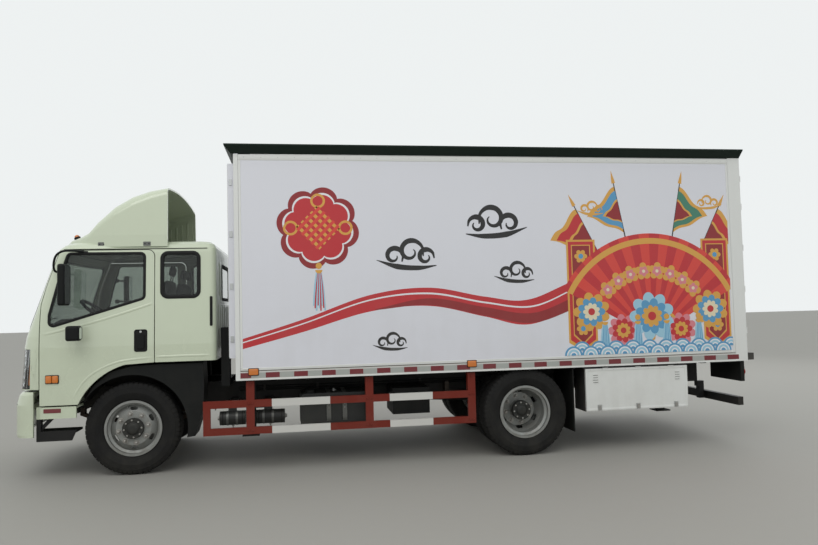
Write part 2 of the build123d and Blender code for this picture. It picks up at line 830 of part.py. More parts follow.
# Cab steps: a body-coloured tread box over a lower step on its hanger
step_front = 792
step_rear = 482
step_outer = 1030
step_inner = 800
tread_front = 835
tread_rear = 487
tread_outer = 1000
tread_top = 452
tread_low = 360
with BuildPart() as cab_steps:
    for side in (1, -1):
        block((at(step_front), at(step_rear)), (side * (step_outer - 24), side * step_outer), (569, 675))
        block((at(step_front), at(step_rear)), (side * step_inner, side * step_outer), (655, 675))
        tread_y = (side * step_inner, side * tread_outer)
        block((at(tread_front), at(tread_rear)), tread_y, (tread_top - 20, tread_top))
        lip = [(tread_front, tread_low), (tread_front, tread_top), (tread_rear, tread_top)]
        lip += [(tread_rear + 40, tread_low)]
        side_prism(lip, (side * (tread_outer - 14), side * tread_outer))
        block((at(tread_front), at(tread_front - 38)), (side * 940, side * tread_outer), (tread_low, 675))
        side_prism(((798, 452), (798, 500), (650, 656), (600, 656)), (side * 960, side * 975))
        block((at(790), at(740)), (side * frame_half_width, side * (step_inner + 40)), (610, 655))
finish(cab_steps.part, "cab_steps")

# Air intake duct behind the cab
with BuildPart() as air_intake:
    block((at(-808), at(-888)), (720, 880), (rail_top, 1360))
    block((at(-808), at(-888)), (frame_half_width - 30, 800), (rail_top, rail_top + 60))
finish(air_intake.part, "air_intake")


# Cab body
def cab_body(inset):
    """The cab's closed outer form, or the same form drawn in by inset all round."""
    levels = []
    for height, front, half, corner, rear in cab_sections:
        z = height
        if height > roof_from:
            z = height - inset
        if inset and height == cab_low:
            z = height - 5
        levels.append(plan_face(z, front, half, corner, rear, cab_bow, inset, cab_rear_radius))
    with BuildPart() as body:
        loft(levels, ruled=True)
    return body.part


cab_outer = cab_body(0)
cab_inner = cab_body(cab_wall)
cab_lining = cab_body(cab_wall + lining_gap)
glass_outer = cab_body(glass_depth)
glass_inner = cab_body(glass_depth + glass_thickness)
cab_middle = cab_body(cab_wall - 5)
lamp_inner = cab_body(24)

arch_start = (465, cab_low)
arch_mid = (290, 918)
arch_end = (48, 1042)
far_side = 1300


def wheel_arch():
    """The wheel arch's front, middle and rear points in side view."""
    return [(at(station), z) for station, z in (arch_start, arch_mid, arch_end)]


def arch_region(low, mode=Mode.SUBTRACT):
    """Everything under the wheel arch and the cab's rear sill, over the full width."""
    with BuildSketch(side_plane(-far_side)) as view:
        with BuildLine():
            arch = wheel_arch()
            ThreePointArc(*arch)
            Polyline(
                arch[2],
                (at(door_rear), cab_rear_low),
                (at(-900), cab_rear_low),
                (at(-900), low),
                (arch[0][0], low),
                arch[0],
            )
        make_face()
    extrude(view.sketch, amount=-2 * far_side, mode=mode)


def door_view(y, gap):
    """Side view of a cab door, grown by gap, at width y."""
    with BuildSketch(side_plane(y)) as view:
        with BuildLine():
            arch = wheel_arch()
            Polyline(
                arch[0],
                (at(door_front), cab_low),
                (at(door_front), 1620),
                (at(752), 1800),
                (at(640), door_top),
                (at(door_rear), door_top),
                (at(door_rear), cab_rear_low),
                arch[2],
            )
            ThreePointArc(arch[2], arch[1], arch[0])
        make_face()
        top_rear = view.vertices().group_by(Axis.Y)[-1].sort_by(Axis.X)[0]
        fillet(top_rear, radius=60)
        if gap:
            offset(amount=gap, kind=Kind.INTERSECTION)
    return view.sketch


door_window = ((718, 1405), (-123, 1660), (-124, 2088), (560, 2090), (640, 1830), (716, 1520))
quarter_window = ((-284, 1667), (-621, 1667), (-621, 2088), (-284, 2088))
windscreen_low = (1378, 900)
windscreen_high = (2058, 850)
rear_window = (450, 1640, 1990)


def windscreen_view(x):
    """Front view of the windscreen opening, drawn at station x."""
    with BuildSketch(Plane.YZ.offset(at(x))) as view:
        low, half_low = windscreen_low
        high, half_high = windscreen_high
        Polygon((-half_low, low), (half_low, low), (half_high, high), (-half_high, high), align=None)
        fillet(view.vertices(), radius=70)
    return view.sketch


def rear_window_view(x):
    """Front view of the cab's rear window, drawn at station x."""
    with BuildSketch(Plane.YZ.offset(at(x))) as view:
        half, low, high = rear_window
        Polygon((-half, low), (half, low), (half, high), (-half, high), align=None)
        fillet(view.vertices(), radius=60)
    return view.sketch


lamp_rear = 880
lamp_low = 847
lamp_high = 1209
lamp_inner_y = 640
grille_half = 560
grille_low = 895
grille_high = 1195


with BuildPart() as cab_skin:
    add(cab_outer)
    add(cab_inner, mode=Mode.SUBTRACT)
    arch_region(600)
    side_prism(
        ((door_front - 1, 600), (door_front - 1, cab_front_low), (1300, cab_front_low), (1300, 600)),
        (-far_side, far_side),
        mode=Mode.SUBTRACT,
    )
    for y in (-far_side, 500):
        extrude(door_view(y, door_gap), amount=-(far_side - 500), mode=Mode.SUBTRACT)
        side_prism(quarter_window, (y, y + far_side - 500), mode=Mode.SUBTRACT, radius=55)
    extrude(windscreen_view(560), amount=600, mode=Mode.SUBTRACT)
    extrude(rear_window_view(-900), amount=300, mode=Mode.SUBTRACT)
    block((at(900), at(1200)), (-grille_half, grille_half), (grille_low, grille_high), mode=Mode.SUBTRACT)

# Headlamps: the outer layer of the cab's form at its front corners
with BuildPart() as lamp_region:
    for side in (1, -1):
        block((at(lamp_rear), at(1200)), (side * lamp_inner_y, side * far_side), (lamp_low, lamp_high))
with BuildPart() as headlamps:
    add(cab_outer)
    add(lamp_inner, mode=Mode.SUBTRACT)
    add(lamp_region.part, mode=Mode.INTERSECT)
finish(headlamps.part, "headlamps")

well_front = 772
well_rear = 478
well_inner = 780
well_outer = 988
well_plate = 14
floor_z = cab_rear_low + cab_floor
floor_front = 1000
with BuildPart() as floor_level:
    block((at(-1000), at(1300)), (-far_side, far_side), (cab_rear_low, floor_z))
with BuildPart() as floor_level_ends:
    block((at(-1000), at(door_rear - door_gap)), (-far_side, far_side), (cab_rear_low, floor_z))
    block((at(door_front + door_gap), at(floor_front)), (-far_side, far_side), (cab_rear_low, floor_z))
with BuildPart() as floor_plate:
    add(cab_lining)
    add(floor_level.part, mode=Mode.INTERSECT)
with BuildPart() as floor_ends:
    add(cab_middle)
    add(floor_level_ends.part, mode=Mode.INTERSECT)

# Tilt arms: from an eye on the pin back and up at 45 degrees, then upright to the floor
eye = tilt_eye_radius * sin(radians(45))
run = cab_front_low - tilt_pin_z - eye
arm_outline = (
    (tilt_pin_x + eye, tilt_pin_z + eye), (tilt_pin_x + eye - run, cab_front_low),
    (tilt_pin_x + eye - run, cab_rear_low + 2), (tilt_pin_x - eye - run, cab_rear_low + 2),
    (tilt_pin_x - eye - run, tilt_pin_z - eye + run), (tilt_pin_x - eye, tilt_pin_z - eye),
)

# The whole cab shell: skin, floor, step wells and tilt arms
with BuildPart() as cab_shell:
    add(cab_skin.part)
    add(headlamps.part, mode=Mode.SUBTRACT)
    add(floor_plate.part)
    add(floor_ends.part)
    for side in (1, -1):
        block(
            (at(well_rear), at(well_front)),
            (side * well_inner, side * well_outer),
            (cab_low + 8, cab_rear_low + 5),
        )
        block(
            (at(well_rear + well_plate), at(well_front - well_plate)),
            (side * (well_inner + well_plate), side * (well_outer + 1)),
            (cab_low + 8 + well_plate, floor_z + 1),
            mode=Mode.SUBTRACT,
        )
        arm_in = tilt_arm_y - tilt_arm_width / 2
        arm_out = tilt_arm_y + tilt_arm_width / 2
        side_prism(arm_outline, (side * arm_in, side * arm_out))
        pin_out = arm_out + tilt_arm_gap + tilt_lug_width
        for y, radius in ((arm_out, tilt_eye_radius), (pin_out, tilt_pin_radius)):
            rod((at(tilt_pin_x), side * arm_in, tilt_pin_z), (at(tilt_pin_x), side * y, tilt_pin_z), radius)
finish(cab_shell.part, "cab_shell")

# Grille: level slats tied by uprights, in the front opening
slat_count = 5
slat_height = 30
slat_pitch = (grille_high - grille_low - slat_height) / (slat_count - 1)
grille_clearance = 2
with BuildPart() as grille:
    for index in range(slat_count):
        z = grille_low + index * slat_pitch
        block(
            (at(900), at(1200)),
            (-(grille_half - grille_clearance), grille_half - grille_clearance),
            (z + grille_clearance, z + slat_height - grille_clearance),
        )
    tall = (grille_low + grille_clearance, grille_high - grille_clearance)
    for y in (-grille_half + 22, -grille_half / 3, grille_half / 3, grille_half - 22):
        block((at(900), at(1200)), (y - 10, y + 10), tall)
    add(cab_body(4), mode=Mode.INTERSECT)
    add(cab_middle, mode=Mode.SUBTRACT)
finish(grille.part, "grille")


# Glass set in the cut openings, all in one thin layer of the cab's form
with BuildPart() as window_regions:
    extrude(windscreen_view(560), amount=600)
    extrude(rear_window_view(-900), amount=300)
    for y in (-far_side, 500):
        side_prism(quarter_window, (y, y + far_side - 500), radius=55)
with BuildPart() as cab_glass:
    add(glass_outer)
    add(glass_inner, mode=Mode.SUBTRACT)
    add(window_regions.part, mode=Mode.INTERSECT)
finish(cab_glass.part, "cab_glass")

# Cab doors and their glass
for side_name, y in (("left", 500), ("right", -far_side)):
    with BuildPart() as door_region:
        extrude(door_view(y, 0), amount=-(far_side - 500))
    with BuildPart() as cab_door:
        add(cab_outer)
        add(cab_inner, mode=Mode.SUBTRACT)
        add(door_region.part, mode=Mode.INTERSECT)
        side_prism(door_window, (y, y + far_side - 500), mode=Mode.SUBTRACT, radius=38)
    finish(cab_door.part, f"door_{side_name}")
    with BuildPart() as window_region:
        side_prism(door_window, (y, y + far_side - 500), radius=38)
    with BuildPart() as door_glass:
        add(glass_outer)
        add(glass_inner, mode=Mode.SUBTRACT)
        add(window_region.part, mode=Mode.INTERSECT)
    finish(door_glass.part, f"door_glass_{side_name}")

# Mirrors on arms from the doors
mirror_middle = at((mirror_stations[0] + mirror_stations[1]) / 2)
lower_mirror_middle = (lower_mirror_z[0] + lower_mirror_z[1]) / 2 + 42
for side_name, side in (("left", 1), ("right", -1)):
    with BuildPart() as mirrors:
        mirror_x = (at(mirror_stations[0]), at(mirror_stations[1]))
        block(mirror_x, (side * mirror_y[0], side * mirror_y[1]), mirror_z)
        fillet(mirrors.edges(), radius=mirror_round)
        for z in mirror_arm_heights:
            root = (at(mirror_arm_root[0]), side * mirror_arm_root[1], z)
            rod(root, (mirror_middle, side * (mirror_y[0] + 20), z), mirror_arm)
        lower_x = (at(lower_mirror_stations[0]), at(lower_mirror_stations[1]))
        block(lower_x, (side * lower_mirror_y[0], side * lower_mirror_y[1]), lower_mirror_z)
        fillet(mirrors.edges().filter_by(lambda e: e.center().Z < lower_mirror_z[1] + 60), radius=mirror_round)
        root = (at(mirror_arm_root[0] - 10), side * mirror_arm_root[1], lower_mirror_middle)
        end = (at(lower_mirror_stations[0] - 15), side * (lower_mirror_y[0] + 20), lower_mirror_middle)
        rod(root, end, lower_mirror_arm)
        add(cab_outer, mode=Mode.SUBTRACT)
    finish(mirrors.part, f"mirrors_{side_name}")



# Roof fairing: an open-backed shell on the cab roof
def fairing_body(inset):
    """The fairing's outer form, or its hollow when inset."""
    with BuildPart() as body:
        for station, half, top, corner in fairing_sections:
            x = station
            if inset and station == fairing_sections[-1][0]:
                x = station - 5
            shoulder = top - fairing_crown * (half / fairing_sections[-1][1]) ** 2 - inset
            r = max(corner - inset, 4)
            low = fairing_bottom - (5 if inset else 0)
            crease = min(fairing_crease, shoulder - r - 5)
            foot = half - inset
            lean = fairing_lean * (shoulder - r - crease) / (fairing_sections[-1][2] - fairing_crease)
            w = foot - lean
            slant = r * (1 - cos(radians(45)))
            with BuildSketch(Plane.YZ.offset(at(x))):
                with BuildLine():
                    Polyline((-w, shoulder - r), (-foot, crease), (-foot, low))
                    Line((-foot, low), (foot, low))
                    Polyline((foot, low), (foot, crease), (w, shoulder - r))
                    ThreePointArc((w, shoulder - r), (w - slant, shoulder - slant), (w - r, shoulder))
                    ThreePointArc((w - r, shoulder), (0, top - inset), (-(w - r), shoulder))
                    ThreePointArc((-(w - r), shoulder), (-(w - slant), shoulder - slant), (-w, shoulder - r))
                make_face()
        loft(ruled=True)
    return body.part


fairing_outer = fairing_body(0)
fairing_inner = fairing_body(fairing_wall)
with BuildPart() as roof_fairing:
    add(fairing_outer)
    add(fairing_inner, mode=Mode.SUBTRACT)
    add(cab_outer, mode=Mode.SUBTRACT)
finish(roof_fairing.part, "roof_fairing")

# Cab interior: dashboard, steering wheel and seats
with BuildPart() as dashboard:
    side_prism(((600, 1130), (930, 1130), (985, 1345), (840, 1440), (600, 1395)), (-1000, 1000))
    add(cab_body(cab_wall + 14), mode=Mode.INTERSECT)
finish(dashboard.part, "dashboard")

wheel_centre = (at(395), 520, 1520)
wheel_tilt = 38
with BuildPart() as steering_wheel:
    wheel_way = (-sin(radians(wheel_tilt)), 0, cos(radians(wheel_tilt)))
    rim_plane = Plane(origin=wheel_centre, x_dir=(0, 1, 0), z_dir=wheel_way)
    with BuildSketch(Plane(origin=rim_plane.origin, x_dir=rim_plane.x_dir, z_dir=rim_plane.y_dir)):
        with Locations((215, 0)):
            Circle(15)
    revolve(axis=Axis(rim_plane.origin, rim_plane.z_dir))
    with BuildSketch(rim_plane.offset(-12)):
        Circle(62)
        for angle in (-30, 90, 210):
            with Locations(Location((0, 0, 0), (0, 0, angle))):
                with Locations((110, 0)):
                    Rectangle(214, 34)
    extrude(amount=20)
    column_end = rim_plane.from_local_coords(Vector(0, 0, -310))
    rod(tuple(rim_plane.from_local_coords(Vector(0, 0, -10))), tuple(column_end), 34)
    add(dashboard.part, mode=Mode.SUBTRACT)
finish(steering_wheel.part, "steering_wheel")

seat_places = ((520, 480), (-380, 780))
seat_front = 210
seat_back = -270
with BuildPart() as seat_bases:
    for y, width in seat_places:
        block((at(seat_front - 60), at(seat_back)), (y - width / 2 + 40, y + width / 2 - 40), (floor_z, 1290))
    block((at(-430), at(-735)), (-960, 960), (floor_z, 1330))
finish(seat_bases.part, "seat_bases")

with BuildPart() as seats:
    for y, width in seat_places:
        block((at(seat_front), at(seat_back)), (y - width / 2, y + width / 2), (1290, 1400))
        side_prism(
            ((seat_back + 6, 1408), (seat_back + 116, 1408), (seat_back - 10, 2000), (seat_back - 90, 2000)),
            (y - width / 2, y + width / 2),
        )
finish(seats.part, "seats")


# Wheels
def wheel_plane(x, y, side):
    """Level plane through a wheel's centre: sketch x is radial, sketch y points outboard."""
    return Plane(origin=(x, side * y, axle_z), x_dir=(side, 0, 0), z_dir=(0, 0, 1))


def outward(plane):
    """The wheel's axis, pointing outboard."""
    return Axis(plane.origin, plane.y_dir)


def spin(plane, points):
    """Adds a closed (radius, outboard) profile spun about the wheel's axis."""
    with BuildSketch(plane) as section:
        Polygon(*points, align=None)
    revolve(section.sketch, axis=outward(plane))


def tyre_profile():
    """Radial section of the tyre: bead, sidewall, shoulder and tread."""
    half = tyre_width / 2
    bead = bead_width / 2
    tread = tread_width / 2
    upper = [
        (bead_radius, bead), (flange_radius + 3, bead), (flange_radius + 16, bead + 14), (318, half - 5),
        (350, half), (392, half - 8), (tyre_radius - 9, tread + 16), (tyre_radius, tread),
    ]
    return upper + [(r, -y) for r, y in reversed(upper)]


def rim_profile():
    """Radial section of the rim barrel with its two flanges."""
    edge = rim_width / 2
    lip = bead_width / 2 + rim_clearance
    seat = bead_radius - rim_clearance
    outer = [(flange_radius, edge), (flange_radius, lip), (seat, lip), (seat, 50), (drop_radius, 38)]
    inner = [(drop_radius - rim_wall, 46), (seat - rim_wall, 58), (seat - rim_wall, edge)]
    return outer + [(r, -y) for r, y in reversed(outer)] + [(r, -y) for r, y in reversed(inner)] + inner


def disc_slots(plane, depth_range):
    """Cuts the ventilation slots through the wheel disc."""
    low, high = depth_range
    face = Plane(origin=plane.origin + plane.y_dir * low, x_dir=plane.x_dir, z_dir=plane.y_dir)
    with BuildSketch(face) as slots:
        with PolarLocations(slot_circle, slot_count, start_angle=30):
            SlotOverall(slot_length, slot_height, rotation=90)
    extrude(slots.sketch, amount=high - low, mode=Mode.SUBTRACT)


front_face_y = 84
hub_nose = 122
for corner_name, side in (("front_left", 1), ("front_right", -1)):
    plane = wheel_plane(front_axle_x, front_wheel_y, side)
    with BuildPart() as tyre:
        spin(plane, tyre_profile())
    finish(tyre.part, f"tyre_{corner_name}")
    with BuildPart() as rim:
        spin(plane, rim_profile())
        spin(
            plane,
            (
                (hub_radius - 5, front_face_y), (160, front_face_y), (drop_radius - 4, 30),
                (drop_radius - 4, 30 - disc_thickness), (156, front_face_y - disc_thickness),
                (hub_radius - 5, front_face_y - disc_thickness),
            ),
        )
        disc_slots(plane, (0, 100))
        bore = spindle_radius + hub_bore_clearance
        spin(
            plane,
            (
                (0, hub_nose), (62, hub_nose), (hub_radius, hub_nose - 26), (hub_radius, -26), (bore, -26),
                (bore, front_face_y), (0, front_face_y),
            ),
        )
        spin(
            plane,
            (
                (hub_radius - 5, -16), (drum_radius, -16), (drum_radius, -92), (drum_radius - drum_wall, -92),
                (drum_radius - drum_wall, -26), (hub_radius - 5, -26),
            ),
        )
    finish(rim.part, f"rim_{corner_name}")

half_spacing = twin_spacing / 2
for corner_name, side in (("rear_left", 1), ("rear_right", -1)):
    centre = wheel_plane(rear_axle_x, rear_twin_y, side)
    with BuildPart() as tyre:
        for shift in (half_spacing, -half_spacing):
            spin(wheel_plane(rear_axle_x, rear_twin_y + shift, side), tyre_profile())
    finish(tyre.part, f"tyre_{corner_name}")
    with BuildPart() as rim:
        for shift in (half_spacing, -half_spacing):
            spin(wheel_plane(rear_axle_x, rear_twin_y + shift, side), rim_profile())
        dish = half_spacing - 46
        for turn in (1, -1):
            spin(
                centre,
                (
                    (hub_radius, 0), (hub_radius, turn * disc_thickness), (170, turn * disc_thickness),
                    (drop_radius - 4, turn * (dish + disc_thickness)), (drop_radius - 4, turn * dish),
                    (176, 0),
                ),
            )
        disc_slots(centre, (-half_spacing, half_spacing))
        bore = rear_tube_radius + hub_bore_clearance
        spin(
            centre,
            (
                (0, 132), (70, 132), (hub_radius + 2, 118), (hub_radius + 2, -60),
                (bore, -60), (bore, 20), (0, 20),
            ),
        )
        spin(
            centre,
            (
                (hub_radius, -50), (drum_radius, -50), (drum_radius, -225), (drum_radius - drum_wall, -225),
                (drum_radius - drum_wall, -60), (hub_radius, -60),
            ),
        )
    finish(rim.part, f"rim_{corner_name}")

# Steering knuckles: a fork round the kingpin eye, the wheel spindle and the steering arm
fork_gap = 3
fork_lug = 34
fork_radius = 38
web_gap = 6
for name, side in (("knuckle_left", 1), ("knuckle_right", -1)):
    with BuildPart() as knuckle:
        eye = eye_height / 2 + fork_gap
        for z0, z1 in ((eye, eye + fork_lug), (-eye - fork_lug, -eye)):
            rod(
                (front_axle_x, side * kingpin_y, axle_z + z0),
                (front_axle_x, side * kingpin_y, axle_z + z1),
                fork_radius,
            )
        web = kingpin_y + kingpin_radius + web_gap
        block(
            (front_axle_x - 30, front_axle_x + 30),
            (side * web, side * (web + 22)),
            (axle_z - eye - fork_lug, axle_z + eye + fork_lug),
        )
        for z0, z1 in ((eye, eye + fork_lug), (-eye - fork_lug, -eye)):
            block(
                (front_axle_x - 30, front_axle_x + 30),
                (side * kingpin_y, side * web),
                (axle_z + z0, axle_z + z1),
            )
        rod(
            (front_axle_x, side * web, axle_z),
            (front_axle_x, side * (front_wheel_y + front_face_y - 8), axle_z),
            spindle_radius,
        )
        block(
            (front_axle_x, front_axle_x - 190),
            (side * (kingpin_y - 30), side * (kingpin_y - 2)),
            (axle_z - eye - fork_lug, axle_z - eye - 8),
        )
    finish(knuckle.part, name)
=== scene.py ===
import bmesh
import bpy
import json
from math import cos, pi, radians, sin
from mathutils import Matrix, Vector
import numpy as np

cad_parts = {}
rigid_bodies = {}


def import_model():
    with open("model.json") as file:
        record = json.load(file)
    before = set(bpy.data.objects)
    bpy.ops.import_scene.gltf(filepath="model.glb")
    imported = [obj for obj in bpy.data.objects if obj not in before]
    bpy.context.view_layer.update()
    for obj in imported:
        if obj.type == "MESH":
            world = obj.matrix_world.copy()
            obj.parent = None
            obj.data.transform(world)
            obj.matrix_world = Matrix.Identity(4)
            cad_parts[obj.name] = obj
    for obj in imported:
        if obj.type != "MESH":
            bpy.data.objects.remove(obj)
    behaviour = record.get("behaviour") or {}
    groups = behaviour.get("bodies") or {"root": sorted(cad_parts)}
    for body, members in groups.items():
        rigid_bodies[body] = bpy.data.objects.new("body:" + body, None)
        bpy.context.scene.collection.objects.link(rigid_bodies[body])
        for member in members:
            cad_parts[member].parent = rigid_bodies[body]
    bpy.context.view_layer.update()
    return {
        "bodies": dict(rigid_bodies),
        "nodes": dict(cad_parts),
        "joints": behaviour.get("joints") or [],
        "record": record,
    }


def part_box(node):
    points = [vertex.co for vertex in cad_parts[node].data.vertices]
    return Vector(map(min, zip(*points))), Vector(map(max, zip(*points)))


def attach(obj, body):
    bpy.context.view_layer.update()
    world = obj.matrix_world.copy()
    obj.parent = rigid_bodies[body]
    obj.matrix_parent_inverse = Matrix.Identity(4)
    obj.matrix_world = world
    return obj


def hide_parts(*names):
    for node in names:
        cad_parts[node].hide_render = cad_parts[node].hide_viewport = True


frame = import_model()
nodes = frame["nodes"]
joints = {joint["name"]: joint for joint in frame["joints"]}
frontAxle = joints["wheel_front_left_spin"]["pos_m"][0]
rearAxle = joints["wheel_rear_left_spin"]["pos_m"][0]
axleHeight = joints["wheel_front_left_spin"]["pos_m"][2]
print("frame loaded:", len(nodes), "nodes")


def at(station):
    # x of a station counted forward from the front axle
    return frontAxle + station


# Shapes are pairs: an array of points, and a list of face arrays that index it.
viewAxes = {"side": (0, 2, 1), "front": (1, 2, 0), "plan": (0, 1, 2)}


def gridFaces(rows, columns, closeRows=False, closeColumns=False):
    # quads between neighbours of a grid stored row by row, wrapped where a direction is closed
    r, c = np.meshgrid(np.arange(rows if closeRows else rows - 1),
                       np.arange(columns if closeColumns else columns - 1), indexing="ij")
    nextR, nextC = (r + 1) % rows, (c + 1) % columns
    quads = np.stack([r * columns + c, r * columns + nextC, nextR * columns + nextC, nextR * columns + c], -1)
    return quads.reshape(-1, 4)


def cappedFaces(rows, columns):
    # faces of rings stacked row by row, with a lid on the first and the last
    lids = [np.array([np.arange(columns)[::-1]]), np.array([np.arange(columns) + (rows - 1) * columns])]
    return [gridFaces(rows, columns, closeColumns=True)] + lids


def loopSolid(rings):
    # rings joined each to the next, and the last to the first
    return np.vstack(rings), [gridFaces(len(rings), len(rings[0]), closeRows=True, closeColumns=True)]


def closedSheet(points, rows, columns):
    # two sheets of one grid, the second behind the first, with walls between their rims
    n = rows * columns
    index = np.arange(n).reshape(rows, columns)
    rim = np.concatenate([index[0, :-1], index[:-1, -1], index[-1, :0:-1], index[:0:-1, 0]])
    following = np.roll(rim, -1)
    sheet = gridFaces(rows, columns)
    return points, [sheet, sheet[:, ::-1] + n, np.stack([rim, following, following + n, rim + n], -1)]


def unit(rows):
    # each row drawn to length one
    return rows / np.linalg.norm(rows, axis=1)[:, None]


def joined(shapes):
    points, faces, start = [], [], 0
    for item, sets in shapes:
        points.append(item)
        faces += [f + start for f in sets]
        start += len(item)
    return np.vstack(points), faces


def prism(outline, view, low, high):
    # an outline drawn in one of the three views, carried straight from depth low to depth high
    outline = np.asarray(outline, float)
    n = len(outline)
    a, b, c = viewAxes[view]
    points = np.zeros((2 * n, 3))
    points[:, a] = np.tile(outline[:, 0], 2)
    points[:, b] = np.tile(outline[:, 1], 2)
    points[:, c] = np.repeat([low, high], n)
    return points, cappedFaces(2, n)


def block(low, high):
    (x0, y0, z0), (x1, y1, z1) = low, high
    return prism([(x0, z0), (x1, z0), (x1, z1), (x0, z1)], "side", y0, y1)


def roundedOutline(corners, radius, steps=6):
    # each corner becomes an arc: its two tangent points lie radius * tan(turn / 2) from the corner
    corners = np.asarray(corners, float)
    before, after = unit(np.roll(corners, 1, 0) - corners), unit(np.roll(corners, -1, 0) - corners)
    half = np.arccos(np.clip((before * after).sum(1), -1, 1)) / 2
    radius = np.broadcast_to(np.asarray(radius, float), half.shape)
    start = corners + before * (radius / np.tan(half))[:, None]
    end = corners + after * (radius / np.tan(half))[:, None]
    centre = corners + unit(before + after) * (radius / np.sin(half))[:, None]
    angle0 = np.arctan2(*(start - centre).T[::-1])
    angle1 = np.arctan2(*(end - centre).T[::-1])
    turn = (angle1 - angle0 + pi) % (2 * pi) - pi
    share = np.linspace(0, 1, steps + 1)
    angles = angle0[:, None] + turn[:, None] * share
    arc = centre[:, None] + radius[:, None, None] * np.stack([np.cos(angles), np.sin(angles)], -1)
    return arc.reshape(-1, 2)


def rectangle(low, high, radius, steps=5, inset=0.0):
    # a rounded rectangle, drawn in by an inset that its corners' radius gives way to
    (a0, b0), (a1, b1) = np.array(low) + inset, np.array(high) - inset
    return roundedOutline([(a0, b0), (a1, b0), (a1, b1), (a0, b1)], max(radius - inset, 0.0015), steps)


def domed(low, high, radius, profile, place, steps=5):
    # rounded rectangles at several insets and depths, joined into one closed lens or cap
    rings = [place(rectangle(low, high, radius, steps, inset), depth) for inset, depth in profile]
    return np.vstack(rings), cappedFaces(len(rings), len(rings[0]))


def facingSide(outline, depth):
    return np.column_stack([outline[:, 0], np.full(len(outline), depth), outline[:, 1]])


def facingEnd(outline, depth):
    return np.column_stack([np.full(len(outline), depth), outline])


def lathe(profile, centre, axis, steps=48, closed=False):
    # (radius, height) points turned about an axis through centre
    profile = np.asarray(profile, float)
    axis = np.asarray(axis, float) / np.linalg.norm(axis)
    side = np.cross(axis, (0.0, 0.0, 1.0) if abs(axis[2]) < 0.9 else (1.0, 0.0, 0.0))
    side /= np.linalg.norm(side)
    other = np.cross(axis, side)
    turn = np.linspace(0, 2 * pi, steps, endpoint=False)[:, None, None]
    ring = np.cos(turn) * side + np.sin(turn) * other
    points = np.asarray(centre) + profile[:, 0][None, :, None] * ring + profile[:, 1][None, :, None] * axis
    faces = gridFaces(steps, len(profile), closeRows=True, closeColumns=closed)
    return points.reshape(-1, 3), [faces]


def tube(path, radius, sides=12, closed=False, up=(0.0, 0.0, 1.0)):
    # a circle carried along a path, square to its direction
    path = np.asarray(path, float)
    if closed:
        way = np.roll(path, -1, 0) - np.roll(path, 1, 0)
    else:
        way = np.gradient(path, axis=0)
    way = unit(way)
    across = unit(np.cross(way, up))
    above = np.cross(across, way)
    turn = np.linspace(0, 2 * pi, sides, endpoint=False)[None, :, None]
    radius = np.broadcast_to(np.asarray(radius, float), (len(path),))[:, None, None]
    points = path[:, None] + radius * (np.cos(turn) * across[:, None] + np.sin(turn) * above[:, None])
    faces = [gridFaces(len(path), sides, closeRows=closed, closeColumns=True)]
    if not closed:
        faces += [np.array([np.arange(sides)]), np.array([np.arange(sides) + (len(path) - 1) * sides])]
    return points.reshape(-1, 3), faces


def rod(start, end, radius, sides=14):
    start, end = np.asarray(start, float), np.asarray(end, float)
    length = np.linalg.norm(end - start)
    return lathe([(0, 0), (radius, 0), (radius, length), (0, length)], start, end - start, sides)


def repeated(placed, sets):
    # the faces of one shape, written out for each placed copy of its points
    starts = np.arange(len(placed)) * placed.shape[1]
    return placed.reshape(-1, 3), [(f[None] + starts[:, None, None]).reshape(-1, f.shape[1]) for f in sets]


def copies(item, offsets):
    # the same shape at each offset
    points, sets = item
    return repeated(points[None] + np.asarray(offsets, float)[:, None], sets)


def rowOf(item, along):
    # copies at places along the truck
    return copies(item, np.column_stack([along, 0 * along, 0 * along]))


def ringOf(item, centre, count, first=0.0):
    # copies of a shape turned about the level axis across the truck
    points, sets = item
    centre = np.asarray(centre, float)
    turn = first + np.arange(count) * 2 * pi / count
    rel = points - centre
    x = rel[None, :, 0] * np.cos(turn)[:, None] + rel[None, :, 2] * np.sin(turn)[:, None]
    z = -rel[None, :, 0] * np.sin(turn)[:, None] + rel[None, :, 2] * np.cos(turn)[:, None]
    y = np.broadcast_to(rel[None, :, 1], x.shape)
    return repeated(np.stack([x, y, z], -1) + centre, sets)


def mirrored(item):
    # the same shape on the truck's other side
    points, sets = item
    return points * np.array([1.0, -1.0, 1.0]), [f[:, ::-1] for f in sets]


def onSide(item, side):
    return item if side > 0 else mirrored(item)


def sided(parts, side):
    # (shape, material) pairs, drawn on the left, for either side
    return [(onSide(item, side), material) for item, material in parts]


